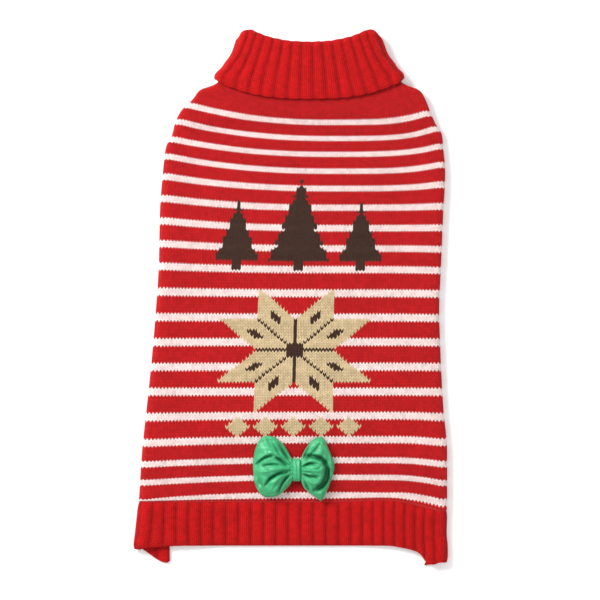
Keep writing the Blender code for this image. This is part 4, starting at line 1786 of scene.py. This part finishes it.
class StitchReverse(Effect):
    """Wrong side of stocking stitch: rows of small bumps, each row set off by half a wale."""

    name = "stitch reverse"
    inputs = {"Place": "Vector"}
    outputs = {"Height": "Float", "Course": "Float"}
    rows_per_course = 2.0
    bump_power = 2.0

    def make(self, given: Signals) -> Signals:
        """Height of the bumps and their course.

        Args:
            given: The group's inputs by name.

        Returns:
            Its outputs by name.
        """
        u, v, _ = split(given["Place"])
        rows = v * self.rows_per_course
        shifted = u + rows.floor().wrap(2.0) * 0.5
        bumps = [~(way.fraction().off_middle() ** self.bump_power) for way in (shifted, rows)]
        return {"Height": bumps[0] * bumps[1], "Course": v.floor()}


class RibShade(Effect):
    """Shade between ribs: 0 on a rib and 1 in the groove, where the middle wale of three sinks."""

    name = "rib shade"
    inputs = {"Place": "Vector", "Wales": "Float"}
    outputs = {"Groove": "Float"}
    power = 2.6

    def make(self, given: Signals) -> Signals:
        """A power of the distance from the rib's middle line."""
        ribs = (split(given["Place"])[0] - 0.5).math("DIVIDE", given["Wales"])
        return {"Groove": ribs.fraction().off_middle() ** self.power}


class StripeCourses(Effect):
    """Mask of the white courses: the first ones of every repeat, between the hem and the neck."""

    name = "stripe courses"
    inputs = {"Course": "Float"}
    outputs = {"White": "Float"}

    def make(self, given: Signals) -> Signals:
        """Counts the courses within a repeat.

        Args:
            given: The group's inputs by name.

        Returns:
            Its outputs by name.
        """
        stripes = Stripes()
        course = given["Course"] + 0.5
        last = (len(stripes.middle) - 1) * stripes.repeat + stripes.white
        white = course.wrap(stripes.repeat).below(stripes.white)
        return {"White": white & course.above(0.0) & course.below(last)}


class StarAndTrees(Effect):
    """Colourwork on the back: an eight-pointed star, three fir trees and a row of small diamonds.

    Everything is counted in stitches from the motif's middle. The star's points are eight
    slanted squares: with a the larger and b the smaller of the two distances from its centre, a
    point is where b and a less b are both under half its size. A fir is a triangle with a
    toothed edge on a short trunk.
    """

    name = "star and trees"
    inputs = {"Wale": "Float", "Course": "Float"}
    outputs = {"Tan": "Float", "Brown": "Float"}
    middle_wale = -1.0
    star_course = 61.0
    star_point = 12.0
    line_half = 0.5
    seed_half = 1.6
    heart_size = 3.5
    tree_course = 91.0
    tree_tall = 36.0
    tree_half = 9.0
    small_tall = 25.0
    small_half = 6.5
    tree_apart = 19.0
    tooth = 7.0
    tooth_middle = 0.55
    tooth_depth = 4.4
    tooth_inset = 0.4
    trunk = 4.0
    trunk_half = 1.5
    row_course = 33.0
    row_half = 20.5
    diamond_size = 3.5
    diamond_apart = 8.0

    def fir(self, aside: Signal, course: Signal, tall: float, half: float) -> Signal:
        """Mask of one fir tree, standing on its own course 0.

        Args:
            aside: Distance from the tree's middle line.
            course: Course above its foot.
            tall: Height of its crown above the trunk.
            half: Half width of its crown at the bottom.

        Returns:
            The mask.
        """
        up = course - self.trunk
        taper = up * (-half / tall) + (half + 0.5)
        teeth = up.wrap(self.tooth) - self.tooth * self.tooth_middle
        edge = taper + teeth * (-self.tooth_depth / self.tooth)
        crown = aside.below(edge) & up.above(-0.5) & (aside + self.tooth_inset).below(taper)
        stem = aside.below(self.trunk_half) & course.above(-0.5) & up.below(0.0)
        return crown | stem

    def make(self, given: Signals) -> Signals:
        """Masks of the two yarns.

        Args:
            given: The group's inputs by name.

        Returns:
            Its outputs by name.
        """
        size_x = abs(given["Wale"] - self.middle_wale)
        size_y = abs(given["Course"] - self.star_course)
        smaller = size_x & size_y
        slant = (size_x | size_y) - smaller
        star = smaller.below(self.star_point) & slant.below(self.star_point)
        lines = smaller.below(self.line_half) | slant.below(self.line_half)
        seed = (abs(smaller - self.star_point / 2).below(self.seed_half)
                & abs(slant - self.star_point / 2).below(self.seed_half))
        heart = (size_x + size_y).below(self.heart_size)
        foot = given["Course"] - self.tree_course
        trees = (self.fir(size_x, foot, self.tree_tall, self.tree_half)
                 | self.fir(abs(size_x - self.tree_apart), foot, self.small_tall,
                            self.small_half))
        half_way = self.diamond_apart / 2
        in_row = abs((size_x + half_way).wrap(self.diamond_apart) - half_way)
        in_row = (in_row + abs(given["Course"] - self.row_course)).below(self.diamond_size)
        brown = (star & (lines | seed | heart)) | trees
        return {"Tan": (star | (in_row & size_x.below(self.row_half))) & ~brown, "Brown": brown}


class YarnFuzz(Effect):
    """Fine fibre over the yarn: soft flecks of light and a little height."""

    name = "yarn fuzz"
    inputs = {"Place": "Vector"}
    outputs = {"Height": "Float", "Tint": "Float"}
    fine_scale = 2600.0
    soft_scale = 700.0
    fine_share = 0.6
    fine_tint = 0.16
    soft_tint = 0.14

    def make(self, given: Signals) -> Signals:
        """Two clouds, of fibres and of loose hairs, in the object's own coordinates.

        Args:
            given: The group's inputs by name.

        Returns:
            Its outputs by name.
        """
        fine = noise(given["Place"], self.fine_scale, 3.0)
        soft = noise(given["Place"], self.soft_scale)
        tint = fine * self.fine_tint + soft * self.soft_tint
        return {"Height": fine * self.fine_share + soft * (1 - self.fine_share),
                "Tint": tint + (1 - (self.fine_tint + self.soft_tint) / 2)}


# ---------------- finishes


class Yarn(Enum):
    """Yarns of the sweater, as linear colours."""

    RED = (0.575, 0.0082, 0.0105)
    RIB_RED = (0.615, 0.0034, 0.0045)
    WHITE = (0.98, 0.77, 0.74)
    TAN = (0.72, 0.545, 0.31)
    BROWN = (0.054, 0.0265, 0.0175)

    def rgba(self) -> Row:
        """The colour with an alpha of 1."""
        return (*self.value, 1.0)


class Side(Enum):
    """Which side of the knit shows."""

    FACE = "face"
    REVERSE = "reverse"


@dataclass(frozen=True)
class Finish:
    """A material; surface has the plain values of its Principled shader, by their names."""

    name: str
    surface: Surface = ()

    def colours(self, tree: Tree) -> Signals:
        """What the finish feeds to the shader, by the inputs' names."""
        raise NotImplementedError

    def material(self) -> Material:
        """Makes the material, with its plain values and what its nodes feed.

        Returns:
            The material.
        """
        material = bpy.data.materials.new(self.name)
        material.use_nodes = True
        tree = material.node_tree
        slots = tree.nodes["Principled BSDF"].inputs
        for name, value in (*self.surface, *self.colours(tree).items()):
            feed(tree, value, slots[name])
        return material


@dataclass(frozen=True)
class KnitFinish(Finish):
    """Knitted wool-like yarn: stitches, stripes, colourwork and fibre."""

    surface: Surface = (
        ("Roughness", 0.88), ("Specular IOR Level", 0.18), ("Sheen Weight", 0.06),
        ("Sheen Roughness", 0.5), ("Sheen Tint", (1.0, 0.4, 0.35, 1.0)))
    ground: Yarn = Yarn.RED
    side: Side = Side.FACE
    striped: bool = False
    motif: bool = False
    ribbed: bool = False
    lean: float = 0.85
    wander: float = 0.16
    depth: float = 0.55
    fuzz_depth: float = 0.10
    gap_power: float = 0.6
    # Painted shade in the gaps between stitches, and in the rib's grooves
    gap_shade: float = 0.58
    rib_shade: float = 0.40
    # Share by which the painted gap shade is weaker on white courses
    white_lift: float = 0.45

    def yarn_colour(self, tree: Tree, stitches: Signals,
                    white: Signal | float) -> Signal:
        """Colour of the yarn that each stitch is knitted with.

        Args:
            tree: The material's tree.
            stitches: What the stitch group gives.
            white: Mask of the white courses.

        Returns:
            The colour.
        """
        colour = mixed(tree, white, self.ground.rgba(), Yarn.WHITE.rgba())
        if self.motif:
            masks = StarAndTrees().place(tree, Wale=stitches["Wale"], Course=stitches["Course"])
            colour = mixed(tree, masks["Tan"], colour, Yarn.TAN.rgba())
            colour = mixed(tree, masks["Brown"], colour, Yarn.BROWN.rgba())
        return colour

    def colours(self, tree: Tree) -> Signals:
        """Colour and normal: stitches raise the surface, and painted shade darkens the gaps
        between them and the rib's grooves.

        Args:
            tree: The material's tree.

        Returns:
            What the finish feeds to the shader, by the inputs' names.
        """
        place = stitch_place(tree)
        if self.side is Side.FACE:
            stitches = StitchFace().place(tree, Place=place, Lean=self.lean, Wander=self.wander)
        else:
            stitches = StitchReverse().place(tree, Place=place)
        fuzz = YarnFuzz().place(tree, Place=object_place(tree))
        gap = ~(stitches["Height"] ** self.gap_power) * self.gap_shade
        white: Signal | float = 0.0
        if self.striped:
            white = StripeCourses().place(tree, Course=stitches["Course"])["White"]
            # The painted gap shade is weaker on the white courses
            gap = gap * ~(white * self.white_lift)
        shade = ~gap * fuzz["Tint"]
        if "Tone" in stitches:
            shade = shade * stitches["Tone"]
        if self.ribbed:
            groove = RibShade().place(tree, Place=place, Wales=StitchGauge().rib_wales)
            shade = shade * ~(groove["Groove"] * self.rib_shade)
        height = stitches["Height"] * self.depth + fuzz["Height"] * self.fuzz_depth
        return {"Base Color": scaled(self.yarn_colour(tree, stitches, white), shade),
                "Normal": bump(height)}


@dataclass(frozen=True)
class SatinFinish(Finish):
    """Glossy satin: fine warp threads, with painted soft light on its crumples and threads and
    painted shade in its folds.
    """

    name: str = "green satin"
    surface: Surface = (
        ("Specular IOR Level", 0.5), ("Sheen Weight", 0.25), ("Sheen Roughness", 0.3),
        ("Sheen Tint", (0.5, 1.0, 0.75, 1.0)))
    colour: Colour = (0.046, 0.44, 0.18)
    # Colour of the painted shade in the folds
    fold_shade_colour: Colour = (0.002, 0.10, 0.028)
    dull: float = 0.33
    slub_dull: float = 0.2
    # Painted light on the crumples, and the least share of it
    crumple_light: float = 0.7
    least_light: float = 0.45
    fold_shade: float = 0.9
    # Painted sheen along the threads
    thread_light: float = 0.05
    thread_height: float = 0.006
    slub_height: float = 0.02
    crumple_height: float = 0.5
    waver: Point = (0.6, 300.0)
    slub_stretch: float = 0.05
    crumple_stretch: Point = (0.035, 0.11)

    def colours(self, tree: Tree) -> Signals:
        """Threads, slubs and small crumples raise it; crumples and threads also carry painted
        light, and folds a painted shade.

        Args:
            tree: The material's tree.

        Returns:
            What the finish feeds to the shader, by the inputs' names.
        """
        u, v, _ = split(stitch_place(tree))
        size, scale = self.waver
        threads = (v + noise(object_place(tree), scale) * size).wave() * 0.5 + 0.5
        slubs = noise(join(u * self.slub_stretch, v), 1.0)
        along, across = self.crumple_stretch
        crumples = noise(join(u * along, v * across), 1.0, 3.0)
        # The fold depth from the bow's geometry masks the painted fold shade
        depth = wired(tree, "Attribute", {}, "Fac", attribute_name="fold_depth")
        # Painted light: the crumples' noise lightens the colour, and the folds darken it to the
        # painted shade colour
        light = (crumples * self.crumple_light + self.least_light) * ~(depth * self.fold_shade)
        # Painted sheen along the threads
        light = light + threads * self.thread_light
        height = threads * self.thread_height + slubs * self.slub_height
        return {"Base Color": mixed(tree, light, (*self.fold_shade_colour, 1.0), (*self.colour, 1.0)),
                "Roughness": slubs * self.slub_dull + self.dull,
                "Normal": bump(height + crumples * self.crumple_height)}


@dataclass(frozen=True)
class SeamFinish(Finish):
    """Twisted yarn of the linked seams."""

    name: str = "seam yarn"
    surface: Surface = (("Roughness", 0.9), ("Sheen Weight", 0.2))
    colour: Yarn = Yarn.RIB_RED
    ply_height: float = 0.25
    fuzz_height: float = 0.08
    ply_turns: Point = (2.0, 0.5)

    def colours(self, tree: Tree) -> Signals:
        """Plies slant across the ridge, two turns to a stitch, with painted shade between them.

        Args:
            tree: The material's tree.

        Returns:
            What the finish feeds to the shader, by the inputs' names.
        """
        u, v, _ = split(stitch_place(tree))
        ply = (u * self.ply_turns[0] + v * self.ply_turns[1]).wave() * 0.5 + 0.5
        fuzz = YarnFuzz().place(tree, Place=object_place(tree))
        height = ply * self.ply_height + fuzz["Height"] * self.fuzz_height
        # Painted shade: the colour darkens between the plies
        return {"Base Color": scaled(self.colour.value, (ply * 0.5 + 0.5) * fuzz["Tint"]),
                "Normal": bump(height)}


@dataclass(frozen=True)
class TableFinish(Finish):
    """Plain pale table top with the faintest grain, lit a little from below."""

    name: str = "pale table"
    surface: Surface = (
        ("Roughness", 0.7), ("Emission Color", (1.0, 1.0, 1.0, 1.0)), ("Emission Strength", 0.12))
    colour: Colour = (0.90, 0.90, 0.90)
    grain: float = 0.02
    grain_scale: float = 8.0

    def colours(self, tree: Tree) -> Signals:
        """The colour with its grain."""
        grain = noise(object_place(tree), self.grain_scale, 3.0) * self.grain
        return {"Base Color": scaled(self.colour, grain + (1 - self.grain / 2))}


# ---------------- studio


@dataclass(frozen=True)
class Lamp:
    """Square soft light at a place in metres, turned to the sweater."""

    name: str
    place: tuple[float, float, float]
    size: float
    power: float

    def build(self) -> None:
        """Adds the light; its angles turn its -Z to the sweater."""
        data = bpy.data.lights.new(self.name, "AREA")
        data.size, data.energy = self.size, self.power
        obj = bpy.data.objects.new(self.name, data)
        obj.location = self.place
        x, y, z = -np.array(self.place) / np.linalg.norm(self.place)
        obj.rotation_euler = (np.arccos(-z), 0.0, np.arctan2(-x, y))
        bpy.context.scene.collection.objects.link(obj)


@dataclass(frozen=True)
class Studio:
    """Pale table, soft lights and a camera that looks straight down."""

    view_width: float = 450.0
    view_centre: Point = (7.1, -1.5)
    lens: float = 200.0
    sensor: float = 36.0
    table_half: float = 2500.0
    table_drop: float = 0.1
    table_cells: int = 8
    sky: float = 0.70
    lamps: tuple[Lamp, ...] = (Lamp("key_light", (-1.0, 0.8, 0.95), 0.6, 30.0),
                               Lamp("fill_light", (1.1, -0.4, 1.3), 1.4, 5.0))

    def table(self) -> None:
        """The table top, a subdivided plane just under the sweater."""
        bpy.ops.mesh.primitive_grid_add(x_subdivisions=self.table_cells,
                                        y_subdivisions=self.table_cells,
                                        size=2 * self.table_half * MM,
                                        location=(0.0, 0.0, -self.table_drop * MM))
        obj = bpy.context.object
        obj.name = "table_top"
        obj.data.materials.append(TableFinish().material())

    def camera(self) -> None:
        """Long-lens camera straight above, framed as the photograph is."""
        data = bpy.data.cameras.new("camera")
        data.lens, data.sensor_width = self.lens, self.sensor
        obj = bpy.data.objects.new("camera", data)
        distance = self.view_width * self.lens / self.sensor
        obj.location = (self.view_centre[0] * MM, self.view_centre[1] * MM, distance * MM)
        bpy.context.scene.collection.objects.link(obj)
        bpy.context.scene.camera = obj

    def build(self) -> None:
        """Table, lights, plain sky and camera."""
        self.table()
        for lamp in self.lamps:
            lamp.build()
        world = bpy.data.worlds.new("soft sky")
        world.use_nodes = True
        background = world.node_tree.nodes["Background"]
        background.inputs["Color"].default_value = (1, 1, 1, 1)
        background.inputs["Strength"].default_value = self.sky
        bpy.context.scene.world = world
        bpy.context.scene.view_settings.view_transform = "Standard"
        self.camera()


# ---------------- the whole


@dataclass(frozen=True)
class Sweater:
    """The dog sweater: knitted pieces, seams and bow."""

    body: Body = Body()
    bands: UndersideBands = UndersideBands()
    hem: HemBand = HemBand()
    collar: Collar = Collar()
    bow: Bow = Bow()
    sewing: Sewing = Sewing()

    def knit(self) -> None:
        """Builds and dresses the knitted pieces."""
        face = KnitFinish("striped knit with colourwork", striped=True, motif=True).material()
        plain = KnitFinish("striped knit", striped=True).material()
        reverse = KnitFinish("striped knit, wrong side", side=Side.REVERSE, striped=True,
                             depth=0.4).material()
        rib = KnitFinish("red rib", ground=Yarn.RIB_RED, ribbed=True, depth=0.45).material()
        finished(self.body.back_panel(face, reverse), "knit_striped", "back_panel")
        finished(self.body.belly_panel(plain, reverse), "knit_striped", "belly_panel")
        finished(self.bands.arch_band(rib), "rib_red", "arch_band")
        for side, name in SIDES:
            finished(self.bands.leg_band(side, f"leg_trim_{name}", rib), "rib_red",
                     f"leg_band_{name}")
        finished(self.hem.build(rib), "rib_red", "hem_band")
        finished(self.collar.build(rib), "rib_red", "collar")

    def sew(self) -> None:
        """Adds the seams' ridges."""
        yarn = SeamFinish().material()
        form, sewing = self.body.form, self.sewing
        top = form.hem_seam + sewing.flank_start * form.arch_height
        low_leg, high_leg = form.leg_y - form.leg_length, form.leg_y + form.leg_length
        for side, name in SIDES:
            paths = {f"seam_flank_{name}": sewing.side_path(side, top, low_leg),
                     f"seam_shoulder_{name}": sewing.side_path(side, high_leg,
                                                               form.neck_middle),
                     f"seam_leg_{name}": sewing.leg_path(side)}
            for piece, path in paths.items():
                finished(sewing.ridge(piece, path, yarn), "rib_red")
        finished(sewing.ridge("seam_rear_opening", sewing.arch_path(), yarn), "rib_red")
        finished(sewing.ridge("seam_hem", sewing.hem_path(), yarn, lengthwise=True), "rib_red")

    def trim(self) -> None:
        """Adds the satin bow."""
        satin = SatinFinish().material()
        finished(self.bow.strip(satin), "satin_green", "bow")
        finished(self.bow.knot(satin), "satin_green", "bow_knot")

    def build(self) -> None:
        """Every piece, in the order in which the sweater is made."""
        self.knit()
        self.sew()
        self.trim()


def main() -> None:
    """Builds the sweater and the studio."""
    logging.basicConfig(level=logging.INFO, format="%(name)s: %(message)s")
    Sweater().build()
    Studio().build()


if __name__ == "__main__":
    main()
